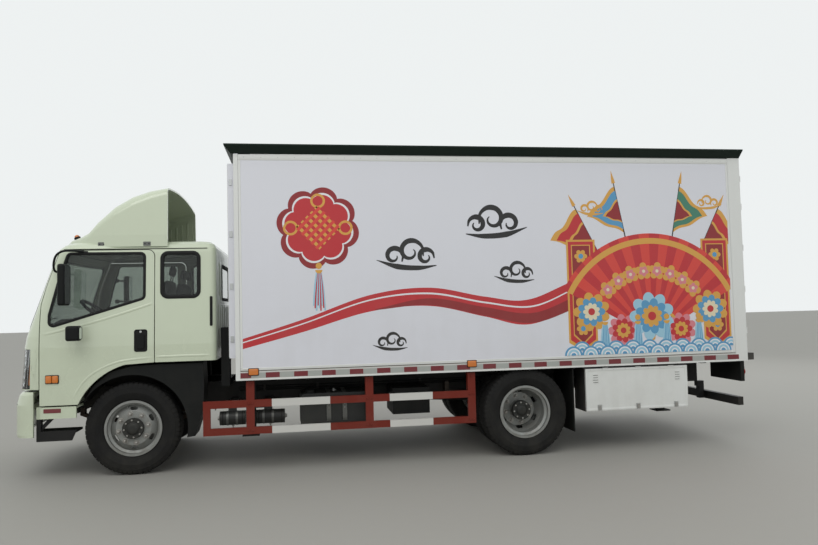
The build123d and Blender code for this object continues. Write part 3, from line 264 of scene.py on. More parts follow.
def makePiece(name, parts, body, smooth=35, bevel=0.0, levels=0, replaces=()):
    # parts are (shape, material) pairs; doubles are merged and normals turned outwards
    mesh = bpy.data.meshes.new(name)
    materials = []
    points, loops, sizes, marks, start = [], [], [], [], 0
    for (item, sets), material in parts:
        if material not in materials:
            materials.append(material)
        points.append(item)
        for f in sets:
            loops.append((f + start).ravel())
            sizes.append(np.full(len(f), f.shape[1]))
            marks.append(np.full(len(f), materials.index(material)))
        start += len(item)
    points, loops = np.vstack(points), np.concatenate(loops)
    sizes, marks = np.concatenate(sizes), np.concatenate(marks)
    mesh.vertices.add(len(points))
    mesh.vertices.foreach_set("co", points.ravel())
    mesh.loops.add(len(loops))
    mesh.loops.foreach_set("vertex_index", loops.astype(np.int32))
    mesh.polygons.add(len(sizes))
    mesh.polygons.foreach_set("loop_start", (np.cumsum(sizes) - sizes).astype(np.int32))
    mesh.polygons.foreach_set("material_index", marks.astype(np.int32))
    mesh.update(calc_edges=True)
    mesh.validate()
    work = bmesh.new()
    work.from_mesh(mesh)
    bmesh.ops.remove_doubles(work, verts=work.verts, dist=1e-6)
    bmesh.ops.recalc_face_normals(work, faces=work.faces)
    work.to_mesh(mesh)
    work.free()
    for material in materials:
        mesh.materials.append(material)
    corners = np.zeros(len(mesh.polygons), np.int32)
    mesh.polygons.foreach_get("loop_total", corners)
    mesh.polygons.foreach_set("use_smooth", corners <= 4)
    mesh.set_sharp_from_angle(angle=radians(smooth))
    piece = bpy.data.objects.new(name, mesh)
    bpy.context.scene.collection.objects.link(piece)
    if bevel:
        rounding = piece.modifiers.new("rounding", "BEVEL")
        rounding.width = bevel
        rounding.segments = 2
        rounding.limit_method = "ANGLE"
        rounding.angle_limit = radians(40)
    if levels:
        finer = piece.modifiers.new("finer", "SUBSURF")
        finer.levels = finer.render_levels = levels
    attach(piece, body)
    if replaces:
        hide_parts(*replaces)
    return piece


# Shader groups
def newGroup(name, inputs, outputs):
    group = bpy.data.node_groups.new(name, "ShaderNodeTree")
    for label, kind, value in inputs:
        group.interface.new_socket(label, in_out="INPUT", socket_type=kind).default_value = value
    for label, kind in outputs:
        group.interface.new_socket(label, in_out="OUTPUT", socket_type=kind)
    return group, group.nodes.new("NodeGroupInput"), group.nodes.new("NodeGroupOutput")


def addNode(tree, kind, **values):
    # values name either a property of the node or one of its input sockets
    node = tree.nodes.new(kind)
    for key, value in values.items():
        label = key.replace("_", " ")
        if hasattr(node, key):
            setattr(node, key, value)
        else:
            node.inputs[label].default_value = value
    return node


def calc(tree, operation, first, second, clamp=False):
    node = tree.nodes.new("ShaderNodeMath")
    node.operation = operation
    node.use_clamp = clamp
    for index, value in enumerate((first, second)):
        if isinstance(value, (int, float)):
            node.inputs[index].default_value = value
        else:
            tree.links.new(value, node.inputs[index])
    return node.outputs[0]


def mixColour(tree, factor, first, second):
    node = tree.nodes.new("ShaderNodeMix")
    node.data_type = "RGBA"
    for index, value in ((0, factor), (6, first), (7, second)):
        if hasattr(value, "is_linked"):
            tree.links.new(value, node.inputs[index])
        else:
            node.inputs[index].default_value = value
    return node.outputs[2]


def buildWeathering():
    # dirt where height is low, broken by two noises, one of them drawn out into upright streaks
    group, enter, leave = newGroup(
        "weathering",
        [("Clean", "NodeSocketColor", (0.8, 0.8, 0.8, 1)), ("Dirt", "NodeSocketColor", (0.2, 0.18, 0.15, 1)),
         ("Amount", "NodeSocketFloat", 0.3), ("Low", "NodeSocketFloat", 0.3), ("High", "NodeSocketFloat", 1.2),
         ("Scale", "NodeSocketFloat", 4.0), ("Clean Roughness", "NodeSocketFloat", 0.3),
         ("Dirt Roughness", "NodeSocketFloat", 0.8)],
        [("Color", "NodeSocketColor"), ("Roughness", "NodeSocketFloat"), ("Mask", "NodeSocketFloat")])
    link = group.links.new
    place = group.nodes.new("ShaderNodeTexCoord").outputs["Object"]
    split = group.nodes.new("ShaderNodeSeparateXYZ")
    link(place, split.inputs[0])
    height = addNode(group, "ShaderNodeMapRange", To_Min=1.0, To_Max=0.0)
    link(split.outputs["Z"], height.inputs["Value"])
    link(enter.outputs["Low"], height.inputs["From Min"])
    link(enter.outputs["High"], height.inputs["From Max"])
    cloud = addNode(group, "ShaderNodeTexNoise", Detail=6.0, Roughness=0.62)
    link(place, cloud.inputs["Vector"])
    link(enter.outputs["Scale"], cloud.inputs["Scale"])
    stretch = addNode(group, "ShaderNodeMapping")
    stretch.inputs["Scale"].default_value = (9.0, 9.0, 0.7)
    link(place, stretch.inputs["Vector"])
    streak = addNode(group, "ShaderNodeTexNoise", Detail=4.0, Scale=1.0)
    link(stretch.outputs[0], streak.inputs["Vector"])
    blend = calc(group, "ADD", calc(group, "MULTIPLY", cloud.outputs[0], 0.6),
                 calc(group, "MULTIPLY", streak.outputs[0], 0.4))
    broken = addNode(group, "ShaderNodeMapRange", interpolation_type="SMOOTHSTEP", From_Min=0.36, From_Max=0.64)
    link(blend, broken.inputs["Value"])
    patchy = calc(group, "ADD", calc(group, "MULTIPLY", broken.outputs[0], 0.75), 0.25)
    fade = calc(group, "ADD", calc(group, "MULTIPLY", height.outputs[0], 0.85), 0.15)
    mask = calc(group, "MULTIPLY", calc(group, "MULTIPLY", patchy, fade), enter.outputs["Amount"], clamp=True)
    link(mixColour(group, mask, enter.outputs["Clean"], enter.outputs["Dirt"]), leave.inputs["Color"])
    gap = calc(group, "SUBTRACT", enter.outputs["Dirt Roughness"], enter.outputs["Clean Roughness"])
    link(calc(group, "ADD", enter.outputs["Clean Roughness"], calc(group, "MULTIPLY", gap, mask)),
         leave.inputs["Roughness"])
    link(mask, leave.inputs["Mask"])
    return group


def buildGrain():
    # fine and broad noise as one bump
    group, enter, leave = newGroup(
        "surfaceGrain",
        [("Scale", "NodeSocketFloat", 300.0), ("Strength", "NodeSocketFloat", 0.1),
         ("Depth", "NodeSocketFloat", 0.001), ("Broad Scale", "NodeSocketFloat", 3.0),
         ("Broad Share", "NodeSocketFloat", 0.0)],
        [("Normal", "NodeSocketVector")])
    link = group.links.new
    place = group.nodes.new("ShaderNodeTexCoord").outputs["Object"]
    fine = addNode(group, "ShaderNodeTexNoise", Detail=3.0)
    link(place, fine.inputs["Vector"])
    link(enter.outputs["Scale"], fine.inputs["Scale"])
    broad = addNode(group, "ShaderNodeTexNoise", Detail=1.0)
    link(place, broad.inputs["Vector"])
    link(enter.outputs["Broad Scale"], broad.inputs["Scale"])
    share = calc(group, "MULTIPLY", broad.outputs[0], enter.outputs["Broad Share"])
    total = calc(group, "ADD", fine.outputs[0], share)
    bump = group.nodes.new("ShaderNodeBump")
    link(enter.outputs["Strength"], bump.inputs["Strength"])
    link(enter.outputs["Depth"], bump.inputs["Distance"])
    link(total, bump.inputs["Height"])
    link(bump.outputs[0], leave.inputs["Normal"])
    return group


weathering = buildWeathering()
surfaceGrain = buildGrain()
dust = (0.30, 0.27, 0.22, 1.0)


def newMaterial(name):
    material = bpy.data.materials.new(name)
    material.use_nodes = True
    return material, material.node_tree, material.node_tree.nodes["Principled BSDF"]


def setInputs(node, **values):
    for label, value in values.items():
        node.inputs[label.replace("_", " ")].default_value = value


def useGroup(tree, group, **values):
    # one of the shared groups, with its inputs set
    node = tree.nodes.new("ShaderNodeGroup")
    node.node_tree = group
    setInputs(node, **values)
    return node


def surface(name, colour, roughness=0.4, dirt=dust, amount=0.25, low=0.2, high=1.3, scale=5.0, dirtRoughness=0.85,
            grain=260.0, strength=0.08, depth=0.0006, broad=2.0, broadShare=0.0, metallic=0.0, paint=None, **sockets):
    # one finish: weathered colour and roughness, and a grained normal; paint may rework the clean colour
    material, tree, shader = newMaterial(name)
    worn = useGroup(tree, weathering, Clean=(*colour, 1.0), Dirt=dirt, Amount=amount, Low=low, High=high,
                    Scale=scale, Clean_Roughness=roughness, Dirt_Roughness=dirtRoughness)
    if paint:
        tree.links.new(paint(tree), worn.inputs["Clean"])
    tree.links.new(worn.outputs["Color"], shader.inputs["Base Color"])
    tree.links.new(worn.outputs["Roughness"], shader.inputs["Roughness"])
    grained = useGroup(tree, surfaceGrain, Scale=grain, Strength=strength, Depth=depth, Broad_Scale=broad,
                       Broad_Share=broadShare)
    tree.links.new(grained.outputs["Normal"], shader.inputs["Normal"])
    setInputs(shader, Metallic=metallic, **sockets)
    return material


def clearMaterial(name, colour, roughness=0.02):
    # glass and clear plastic, with a faint wave in the surface
    material, tree, shader = newMaterial(name)
    grained = useGroup(tree, surfaceGrain, Scale=40.0, Strength=0.02, Depth=0.0002)
    tree.links.new(grained.outputs["Normal"], shader.inputs["Normal"])
    setInputs(shader, Base_Color=(*colour, 1.0), Roughness=roughness, IOR=1.45, Transmission_Weight=1.0)
    return material


def lensPaint(name, colour, roughness=0.16):
    return surface(name, colour, roughness, amount=0.1, grain=160, strength=0.3, Coat_Weight=0.7)


def bandsAlong(axis, edges, first, second, softness=0.002):
    # colour changes from first to second and back at each edge along an object axis
    def paint(tree):
        place = tree.nodes.new("ShaderNodeTexCoord").outputs["Object"]
        split = tree.nodes.new("ShaderNodeSeparateXYZ")
        tree.links.new(place, split.inputs[0])
        along, total = split.outputs[axis], None
        for low, high in edges:
            rise = calc(tree, "MULTIPLY", calc(tree, "SUBTRACT", along, low), 1 / softness, clamp=True)
            fall = calc(tree, "MULTIPLY", calc(tree, "SUBTRACT", high, along), 1 / softness, clamp=True)
            inside = calc(tree, "MULTIPLY", rise, fall)
            total = inside if total is None else calc(tree, "ADD", total, inside, clamp=True)
        return mixColour(tree, total, (*first, 1.0), (*second, 1.0))
    return paint


# Colours that more than one finish or band uses
guardRed, guardWhite = (0.155, 0.014, 0.006), (0.60, 0.59, 0.56)
guardSegments = [(at(-1.848), at(-1.294)), (at(-2.854), at(-2.425))]
cabGreen, boxWhite = (0.575, 0.632, 0.485), (0.72, 0.73, 0.71)
trimDark, floorBrown = (0.008, 0.018, 0.013), (0.20, 0.13, 0.075)

cabPaint = surface("cabPaint", cabGreen, 0.24, amount=0.14, low=0.6, high=1.6, grain=900, strength=0.02,
                   broad=2.2, broadShare=0.4, Coat_Weight=0.6, Coat_Roughness=0.08)
boxSkin = surface("boxSkin", (0.70, 0.705, 0.76), 0.34, amount=0.10, low=0.9, high=2.2, scale=3.0, grain=500,
                  strength=0.03, depth=0.001, broad=0.9, broadShare=3.0, Coat_Weight=0.25, Coat_Roughness=0.2)
whitePaint = surface("whitePaint", boxWhite, 0.33, amount=0.22, low=0.35, high=1.3, grain=600, strength=0.04,
                     broad=2.5, broadShare=0.8, Coat_Weight=0.3, Coat_Roughness=0.15)
roofTrim = surface("roofTrim", trimDark, 0.5, dirt=(0.06, 0.06, 0.05, 1), amount=0.12, low=2.6, high=3.4,
                   grain=300, strength=0.06, Specular_IOR_Level=0.2,
                   paint=bandsAlong("Z", [(3.1015, 3.4)], trimDark, (0.42, 0.43, 0.44)))
chassisBlack = surface("chassisBlack", (0.010, 0.010, 0.011), 0.5, dirt=(0.055, 0.048, 0.038, 1), amount=0.5, low=0.2,
                       high=1.4, grain=180, strength=0.15, Specular_IOR_Level=0.25)
plasticBlack = surface("plasticBlack", (0.007, 0.008, 0.008), 0.5, dirt=(0.05, 0.046, 0.038, 1), amount=0.2, low=0.3,
                       high=1.5, grain=700, strength=0.2, depth=0.0004, Specular_IOR_Level=0.17)
gasketBlack = surface("gasketBlack", (0.008, 0.008, 0.008), 0.6, dirt=(0.05, 0.05, 0.045, 1), amount=0.12, grain=400,
                      strength=0.1, Specular_IOR_Level=0.25)
tyreRubber = surface("tyreRubber", (0.011, 0.011, 0.0115), 0.75, dirt=(0.060, 0.056, 0.044, 1), amount=0.34, low=-0.2,
                     high=1.0, scale=9.0, grain=350, strength=0.25, depth=0.0008, Specular_IOR_Level=0.16)
rimPaint = surface("rimPaint", (0.30, 0.31, 0.30), 0.36, dirt=(0.12, 0.10, 0.07, 1), amount=0.50, low=0.1, high=1.0,
                   scale=16.0, grain=240, strength=0.12, metallic=0.45)
hubIron = surface("hubIron", (0.016, 0.018, 0.017), 0.5, dirt=(0.07, 0.06, 0.045, 1), amount=0.4, low=0.0, high=1.0,
                  scale=20.0, grain=200, strength=0.25, metallic=0.3)
nutSteel = surface("nutSteel", (0.42, 0.42, 0.40), 0.34, dirt=(0.16, 0.10, 0.06, 1), amount=0.5, low=0.0, high=1.0,
                   scale=40.0, metallic=0.8)
castIron = surface("castIron", (0.020, 0.019, 0.018), 0.65, dirt=(0.07, 0.06, 0.045, 1), amount=0.55, low=0.1,
                   high=1.2, grain=90, strength=0.4, depth=0.001, metallic=0.2)
springSteel = surface("springSteel", (0.030, 0.028, 0.026), 0.5, dirt=(0.15, 0.09, 0.05, 1), amount=0.5, grain=200,
                      metallic=0.4, paint=bandsAlong("Z", [(z, z + 0.002) for z in np.arange(0.37, 0.70, 0.013)],
                                                     (0.035, 0.032, 0.029), (0.008, 0.008, 0.008)))
tankAlloy = surface("tankAlloy", (0.026, 0.027, 0.027), 0.42, dirt=(0.07, 0.065, 0.05, 1), amount=0.4, low=0.2,
                    high=1.0, scale=8.0, grain=420, strength=0.06, metallic=0.3)
bandSteel = surface("bandSteel", (0.15, 0.155, 0.15), 0.4, amount=0.3, low=0.2, high=1.0, metallic=0.8)
strapSteel = surface("strapSteel", (0.55, 0.56, 0.56), 0.28, amount=0.3, metallic=0.9)
bufferRubber = surface("bufferRubber", (0.016, 0.016, 0.016), 0.7, amount=0.3, low=0.5, high=1.3, grain=150,
                       strength=0.3)
guardPaint = surface("guardPaint", guardRed, 0.5, amount=0.07, low=0.2, high=1.0, grain=500, strength=0.05,
                     paint=bandsAlong("X", guardSegments, guardRed, guardWhite), Specular_IOR_Level=0.25)
toolBoxPaint = surface("toolBoxPaint", boxWhite, 0.35, amount=0.3, low=0.35, high=1.3, grain=600, strength=0.04,
                       paint=bandsAlong("Y", [(-1.105, 1.105)], (0.70, 0.71, 0.69), (0.018, 0.018, 0.020)))
stepPaint = surface("stepPaint", cabGreen, 0.4, dirt=(0.08, 0.075, 0.06, 1), amount=0.12, low=0.3, high=1.0,
                    grain=600, strength=0.05, Specular_IOR_Level=0.25,
                    paint=bandsAlong("Z", [(0.2, 0.566)], cabGreen, (0.009, 0.009, 0.010)))
floorWood = surface("floorWood", floorBrown, 0.6, amount=0.3, low=0.9, high=1.1, grain=120, strength=0.2,
                    paint=bandsAlong("Z", [(0.944, 0.95)], (0.60, 0.60, 0.58), floorBrown))
trimGrey = surface("trimGrey", (0.055, 0.056, 0.060), 0.55, amount=0.12, low=0.9, high=1.6, grain=850, strength=0.25,
                   depth=0.0005)
seatCloth = surface("seatCloth", (0.040, 0.042, 0.050), 0.85, dirt=(0.12, 0.12, 0.12, 1), amount=0.2, low=1.0,
                    high=2.2, grain=620, strength=0.5, depth=0.0012, Sheen_Weight=0.3)
# a green-grey darker than the cab paint: painted shade for the fairing's inside, on its liner and ribs
fairingLiner = surface("fairingLiner", (0.36, 0.40, 0.29), 0.7, amount=0.2, low=2.0, high=2.9, grain=300,
                       strength=0.2)
windowGlass = clearMaterial("windowGlass", (0.39, 0.43, 0.395))
lampGlass = clearMaterial("lampGlass", (0.96, 0.97, 0.97), 0.03)
amberLens = lensPaint("amberLens", (0.62, 0.17, 0.015), 0.18)
redLens = lensPaint("redLens", (0.36, 0.012, 0.010))
whiteLens = lensPaint("whiteLens", (0.62, 0.62, 0.60))
reflector = surface("reflector", (0.62, 0.63, 0.64), 0.12, amount=0.05, metallic=1.0)
mirrorFace = surface("mirrorFace", (0.75, 0.78, 0.80), 0.03, amount=0.06, metallic=1.0, strength=0.0)
tapeRed = surface("tapeRed", (0.155, 0.004, 0.012), 0.4, amount=0.10, low=0.7, high=1.1, grain=900, strength=0.2,
                  Coat_Weight=0.5)
tapeSilver = surface("tapeSilver", (0.37, 0.39, 0.37), 0.34, amount=0.25, low=0.7, high=1.1, grain=900, strength=0.2,
                     Coat_Weight=0.5)
print("finishes made")

cadFinish = {
    chassisBlack: ["chassis_frame", "box_subframe", "underrun_bar", "leg_front_left", "leg_front_right",
                   "leg_rear_left", "leg_rear_right"],
    castIron: ["front_axle", "rear_axle", "drive_line", "knuckle_left", "knuckle_right"],
    springSteel: ["leaf_springs"], tankAlloy: ["fuel_tank", "chassis_tanks"],
    plasticBlack: ["chassis_boxes", "mudguards", "air_intake", "grille", "tail_lamps", "mirrors_left",
                   "mirrors_right"],
    bufferRubber: ["dock_buffers"], guardPaint: ["side_guards"], floorWood: ["box_floor"],
    boxSkin: ["wing_left", "wing_right", "box_front_wall"],
    whitePaint: ["box_rear_frame", "rear_door_left", "rear_door_right", "tool_lid_left", "tool_lid_right"],
    toolBoxPaint: ["tool_boxes"], stepPaint: ["cab_steps"],
    roofTrim: ["box_roof"], trimGrey: ["dashboard", "steering_wheel", "seat_bases"], seatCloth: ["seats"],
    cabPaint: ["cab_shell", "door_left", "door_right", "roof_fairing", "front_bumper"],
    windowGlass: ["cab_glass", "door_glass_left", "door_glass_right"], lampGlass: ["headlamps"],
    rimPaint: ["rim_front_left", "rim_front_right", "rim_rear_left", "rim_rear_right"],
    tyreRubber: ["tyre_front_left", "tyre_front_right", "tyre_rear_left", "tyre_rear_right"],
}
for material, names in cadFinish.items():
    for name in names:
        nodes[name].data.materials.clear()
        nodes[name].data.materials.append(material)

# Camera, as fitted to the photograph
cameraView = {"place": (1.0650, 8.0207, 1.5239), "turn": 0.1590, "rise": 0.0473, "roll": -0.0244, "focal": 708.2071,
              "width": 818}


def placeCamera():
    # looks across the truck, turned towards its rear, raised, then rolled about the line of sight
    turn, rise, roll = cameraView["turn"], cameraView["rise"], cameraView["roll"]
    ahead = np.array([-sin(turn) * cos(rise), -cos(turn) * cos(rise), sin(rise)])
    across = np.array([-cos(turn), sin(turn), 0.0])
    above = np.cross(across, ahead)
    right = across * cos(roll) + above * sin(roll)
    top = above * cos(roll) - across * sin(roll)
    pose = np.eye(4)
    pose[:3, 0], pose[:3, 1], pose[:3, 2], pose[:3, 3] = right, top, -ahead, cameraView["place"]
    camera = bpy.data.objects.new("camera", bpy.data.cameras.new("camera"))
    camera.matrix_world = Matrix(pose.tolist())
    camera.data.sensor_width = 36.0
    camera.data.sensor_fit = "HORIZONTAL"
    camera.data.lens = cameraView["focal"] / cameraView["width"] * 36.0
    camera.data.clip_end = 200.0
    bpy.context.scene.collection.objects.link(camera)
    bpy.context.scene.camera = camera


placeCamera()
bpy.context.scene.view_settings.view_transform = "Standard"

# Tyres: zigzag grooves round the tread, notched shoulders and raised rings on the walls
tyreSizes = {"blocks": 56, "columns": (0.0, 0.03, 0.16, 0.19, 0.6), "grooves": (-0.062, -0.021, 0.021, 0.062),
             "grooveHalf": 0.0048, "grooveDepth": 0.011, "zigzag": 0.0022, "notchDepth": 0.008, "treadHalf": 0.086,
             "waveHalf": 0.070, "crown": 0.43249, "crownFall": 0.0010, "shoulder": 0.398}
tyreLine = np.array([(0.250, 0.088), (0.262, 0.0885), (0.270, 0.096), (0.276, 0.1015), (0.281, 0.1065),
                     (0.286, 0.1070), (0.290, 0.1095), (0.318, 0.1258), (0.334, 0.1292), (0.3365, 0.1306),
                     (0.3410, 0.1306),
                     (0.3435, 0.1300), (0.362, 0.1306), (0.380, 0.1268), (0.3825, 0.1280), (0.3870, 0.1268),
                     (0.3895, 0.1240), (0.402, 0.1200), (0.414, 0.1150), (0.4235, 0.1105), (0.4285, 0.1040),
                     (0.4315, 0.0950)])


def tyreShape(x, y):
    # radius and breadth of the outer line, times the angle round the wheel; notches and grooves lower the radius
    sizes = tyreSizes
    edge, inner, h = sizes["treadHalf"], 0.0745, sizes["grooveHalf"]
    treadW, treadDrop = [edge, inner], [0.0, 0.0]
    for g in sizes["grooves"][::-1]:
        treadW += [g + h, g + h * 0.7, g - h * 0.7, g - h]
        treadDrop += [0.0, sizes["grooveDepth"], sizes["grooveDepth"], 0.0]
    treadW, treadDrop = np.array(treadW + [-inner, -edge]), np.array(treadDrop + [0.0, 0.0])
    crown = sizes["crown"] - sizes["crownFall"] * (treadW / 0.095) ** 2
    r = np.concatenate([tyreLine[:, 0], crown - treadDrop, tyreLine[::-1, 0]])
    w = np.concatenate([tyreLine[:, 1], treadW, -tyreLine[::-1, 1]])
    phase = (np.arange(sizes["blocks"])[:, None] + np.array(sizes["columns"])[None]).ravel()
    share = phase % 1.0
    angle = phase * 2 * pi / sizes["blocks"]
    notched = ((share > 0.02) & (share < 0.17)).astype(float)[:, None]
    wide = np.abs(w) - sizes["waveHalf"]
    shoulder = np.clip((r - sizes["shoulder"]) / 0.012, 0, 1) * np.clip(wide / 0.004, 0, 1)
    wave = sizes["zigzag"] * (2 * np.abs(2 * share - 1) - 1)[:, None] * (np.abs(w) < sizes["waveHalf"])
    reach = r[None] - sizes["notchDepth"] * notched * shoulder[None]
    breadth = w[None] + wave
    points = np.stack([x + reach * np.cos(angle)[:, None], y + breadth,
                       axleHeight + reach * np.sin(angle)[:, None]], -1)
    return points.reshape(-1, 3), [gridFaces(len(angle), len(r), closeRows=True, closeColumns=True)]


wheelSizes = {"front": {"out": 0.836, "face": 0.084, "nose": 0.122, "stem": 0.060},
              "rear": {"out": 0.850, "face": 0.010, "nose": 0.132, "stem": 0.150}, "twin": 0.150, "studRing": 0.1375,
              "studs": 8, "nutRadius": 0.0185, "nutHeight": 0.020, "studRadius": 0.0105, "studReach": 0.036}


def hubFittings(x, y, face, nose, side):
    # nuts with their studs round the disc, the ring of small bolts on the hub and its pressed cap
    sizes = wheelSizes
    centre = (x, y, axleHeight)
    out = np.array([0.0, 1.0, 0.0])
    spot = np.array([x, y + face, axleHeight + sizes["studRing"]])
    nut = joined([
        lathe([(0, 0), (0.026, 0), (0.026, 0.004), (0, 0.004)], spot, out, 20),
        lathe([(0, 0.004), (sizes["nutRadius"], 0.004), (sizes["nutRadius"], sizes["nutHeight"] - 0.003),
               (sizes["nutRadius"] * 0.86, sizes["nutHeight"]), (0, sizes["nutHeight"])], spot, out, 6),
        lathe([(0, sizes["nutHeight"]), (sizes["studRadius"], sizes["nutHeight"]),
               (sizes["studRadius"], sizes["studReach"] - 0.002), (sizes["studRadius"] * 0.7, sizes["studReach"]),
               (0, sizes["studReach"])], spot, out, 12)])
    nuts = ringOf(nut, centre, sizes["studs"], 0.2)
    noseY = y + nose
    bolt = lathe([(0, 0), (0.0085, 0), (0.0085, 0.006), (0, 0.0065)], (x, noseY + 0.002, axleHeight + 0.080), out, 6)
    bolts = ringOf(bolt, centre, 8, 0.1)
    cap = lathe([(0, 0.0), (0.060, 0.0), (0.060, 0.004), (0.053, 0.007), (0.050, 0.013), (0.044, 0.0165),
                 (0.020, 0.018), (0, 0.018)], (x, noseY - 0.001, axleHeight), out, 48)
    collar = lathe([(0, -0.004), (0.0960, -0.004), (0.0960, -0.046), (0.0940, -0.050), (0.0975, -0.044),
                    (0.0975, -0.002), (0.0935, 0.003), (0.066, 0.003), (0.063, 0.0005), (0, 0.0005)],
                   (x, noseY, axleHeight), out, 64)
    parts = [(nuts, nutSteel), (bolts, nutSteel), (cap, hubIron), (collar, hubIron)]
    return sided(parts, side)


def valveStem(x, y, side):
    # a bent valve stem from the rim well out to the slot
    turn = radians(75)
    way = np.array([cos(turn), 0, sin(turn)])
    base = np.array([x, y - 0.010, axleHeight]) + way * 0.214
    path = [base, base + (0, 0.020, 0) - way * 0.004, base + (0, 0.042, 0) - way * 0.012]
    return onSide(tube(path, (0.005, 0.004, 0.0035), 8), side)


for name, side in (("left", 1), ("right", -1)):
    front, rear = wheelSizes["front"]["out"], wheelSizes["rear"]["out"]
    single = tyreShape(frontAxle, front)
    twins = joined([tyreShape(rearAxle, rear + shift) for shift in (wheelSizes["twin"], -wheelSizes["twin"])])
    makePiece(f"tyreFront_{name}", sided([(single, tyreRubber)], side), f"wheel_front_{name}", smooth=28,
              replaces=[f"tyre_front_{name}"])
    makePiece(f"tyresRear_{name}", sided([(twins, tyreRubber)], side), f"wheel_rear_{name}", smooth=28,
              replaces=[f"tyre_rear_{name}"])
    for end, x in (("front", frontAxle), ("rear", rearAxle)):
        sizes = wheelSizes[end]
        parts = hubFittings(x, sizes["out"], sizes["face"], sizes["nose"], side)
        parts.append((valveStem(x, sizes["out"] + sizes["stem"], side), strapSteel))
        makePiece(f"hub{end.capitalize()}_{name}", parts, f"wheel_{end}_{name}")
print("wheels dressed")

# The printed side: thin vinyl shapes laid on each wing, drawn as (station, height) outlines
vinyl = {"thickness": 0.0002, "sink": 0.0006, "face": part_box("wing_left")[1][1],
         "edges": ((0, -1.036, -1), (0, -6.081, 1), (1, 0.979, 1))}


def vinylColour(name, colour):
    return surface(name, colour, 0.30, amount=0.09, low=0.9, high=2.4, scale=3.0, grain=500, strength=0.03,
                   depth=0.001, broad=0.9, broadShare=3.0, Coat_Weight=0.25, Coat_Roughness=0.2)


inkRed = vinylColour("printRed", (0.50, 0.014, 0.022))
inkDeep = vinylColour("printDeepRed", (0.26, 0.008, 0.012))
inkBright = vinylColour("printScarlet", (0.66, 0.045, 0.030))
inkGold = vinylColour("printGold", (0.66, 0.34, 0.055))
inkPale = vinylColour("printCream", (0.74, 0.66, 0.46))
inkBlue = vinylColour("printBlue", (0.085, 0.30, 0.52))
inkSky = vinylColour("printSky", (0.32, 0.56, 0.70))
inkBlack = vinylColour("printBlack", (0.0035, 0.003, 0.004))
inkPink = vinylColour("printPink", (0.66, 0.20, 0.24))
inkGreen = vinylColour("printGreen", (0.045, 0.20, 0.13))
inkWhite = vinylColour("printWhite", (0.76, 0.76, 0.79))

printed = []


def cut(outline, axis, limit, way):
    # keeps what lies past a straight line: its own points there, and the point where each edge crosses it
    depth = (outline[:, axis] - limit) * way
    following, nextDepth = np.roll(outline, -1, 0), np.roll(depth, -1)
    crossing = depth * nextDepth < 0
    share = np.where(crossing, depth / np.where(crossing, depth - nextDepth, 1.0), 0.0)[:, None]
    both = np.stack([outline, outline + (following - outline) * share], 1).reshape(-1, 2)
    return both[np.stack([depth >= 0, crossing], 1).ravel()]


def lay(outline, ink, layer):
    # one outline trimmed to the skin, from just under the wing's face to its layer's height
    outline = np.asarray(outline, float)
    for axis, limit, way in vinyl["edges"]:
        outline = cut(outline, axis, limit, way)
        if len(outline) < 3:
            return
    points = np.column_stack([at(outline[:, 0]), outline[:, 1]])
    face = vinyl["face"]
    printed.append((prism(points, "side", face - vinyl["sink"], face + vinyl["thickness"] * layer), ink))


def curve(points, count=60):
    # a smooth line through the given points, each span a cubic between its neighbours (Catmull-Rom)
    p = np.asarray(points, float)
    p = np.vstack([2 * p[0] - p[1], p, 2 * p[-1] - p[-2]])
    t = np.linspace(0, len(p) - 3, count)
    k = np.minimum(t.astype(int), len(p) - 4)
    u = (t - k)[:, None]
    a, b, c, d = p[k], p[k + 1], p[k + 2], p[k + 3]
    return 0.5 * (2 * b + (c - a) * u + (2 * a - 5 * b + 4 * c - d) * u ** 2 + (3 * b - a - 3 * c + d) * u ** 3)


def band(upper, lower, count=60):
    return np.vstack([curve(upper, count), curve(lower, count)[::-1]])


def stroke(points, widths, count=40):
    # a brush line: the path moved to both sides by a width that changes along it
    path = curve(points, count)
    way = unit(np.gradient(path, axis=0))
    across = np.stack([-way[:, 1], way[:, 0]], -1)
    half = np.interp(np.linspace(0, 1, count), np.linspace(0, 1, len(widths)), widths)[:, None] / 2
    return np.vstack([path + across * half, (path - across * half)[::-1]])


def disc(centre, radius, count=40):
    turn = np.linspace(0, 2 * pi, count, endpoint=False)
    return np.asarray(centre) + radius * np.stack([np.cos(turn), np.sin(turn)], -1)


def rosette(centre, radius, petals, depth, turn=0.0, count=160):
    # a flower round: the radius swells with the cosine of the petals' angle
    angle = np.linspace(0, 2 * pi, count, endpoint=False)
    r = radius * (1 - depth + depth * np.abs(np.cos(petals * (angle - turn) / 2)) ** 0.7)
    return np.asarray(centre) + r[:, None] * np.stack([np.cos(angle), np.sin(angle)], -1)


def sector(centre, inner, outer, start, end, count=24):
    angle = np.radians(np.linspace(start, end, count))
    ring = np.stack([np.cos(angle), np.sin(angle)], -1)
    return np.asarray(centre) + (np.vstack([outer * ring, inner * ring[::-1]]) if inner else outer * ring)


def spiral(centre, start, end, turns, first, count=44):
    # a scroll whose radius closes evenly as it winds
    share = np.linspace(0, 1, count)
    angle = radians(first) + share * turns * 2 * pi
    r = start + (end - start) * share
    return np.asarray(centre) + r[:, None] * np.stack([np.cos(angle), np.sin(angle)], -1)


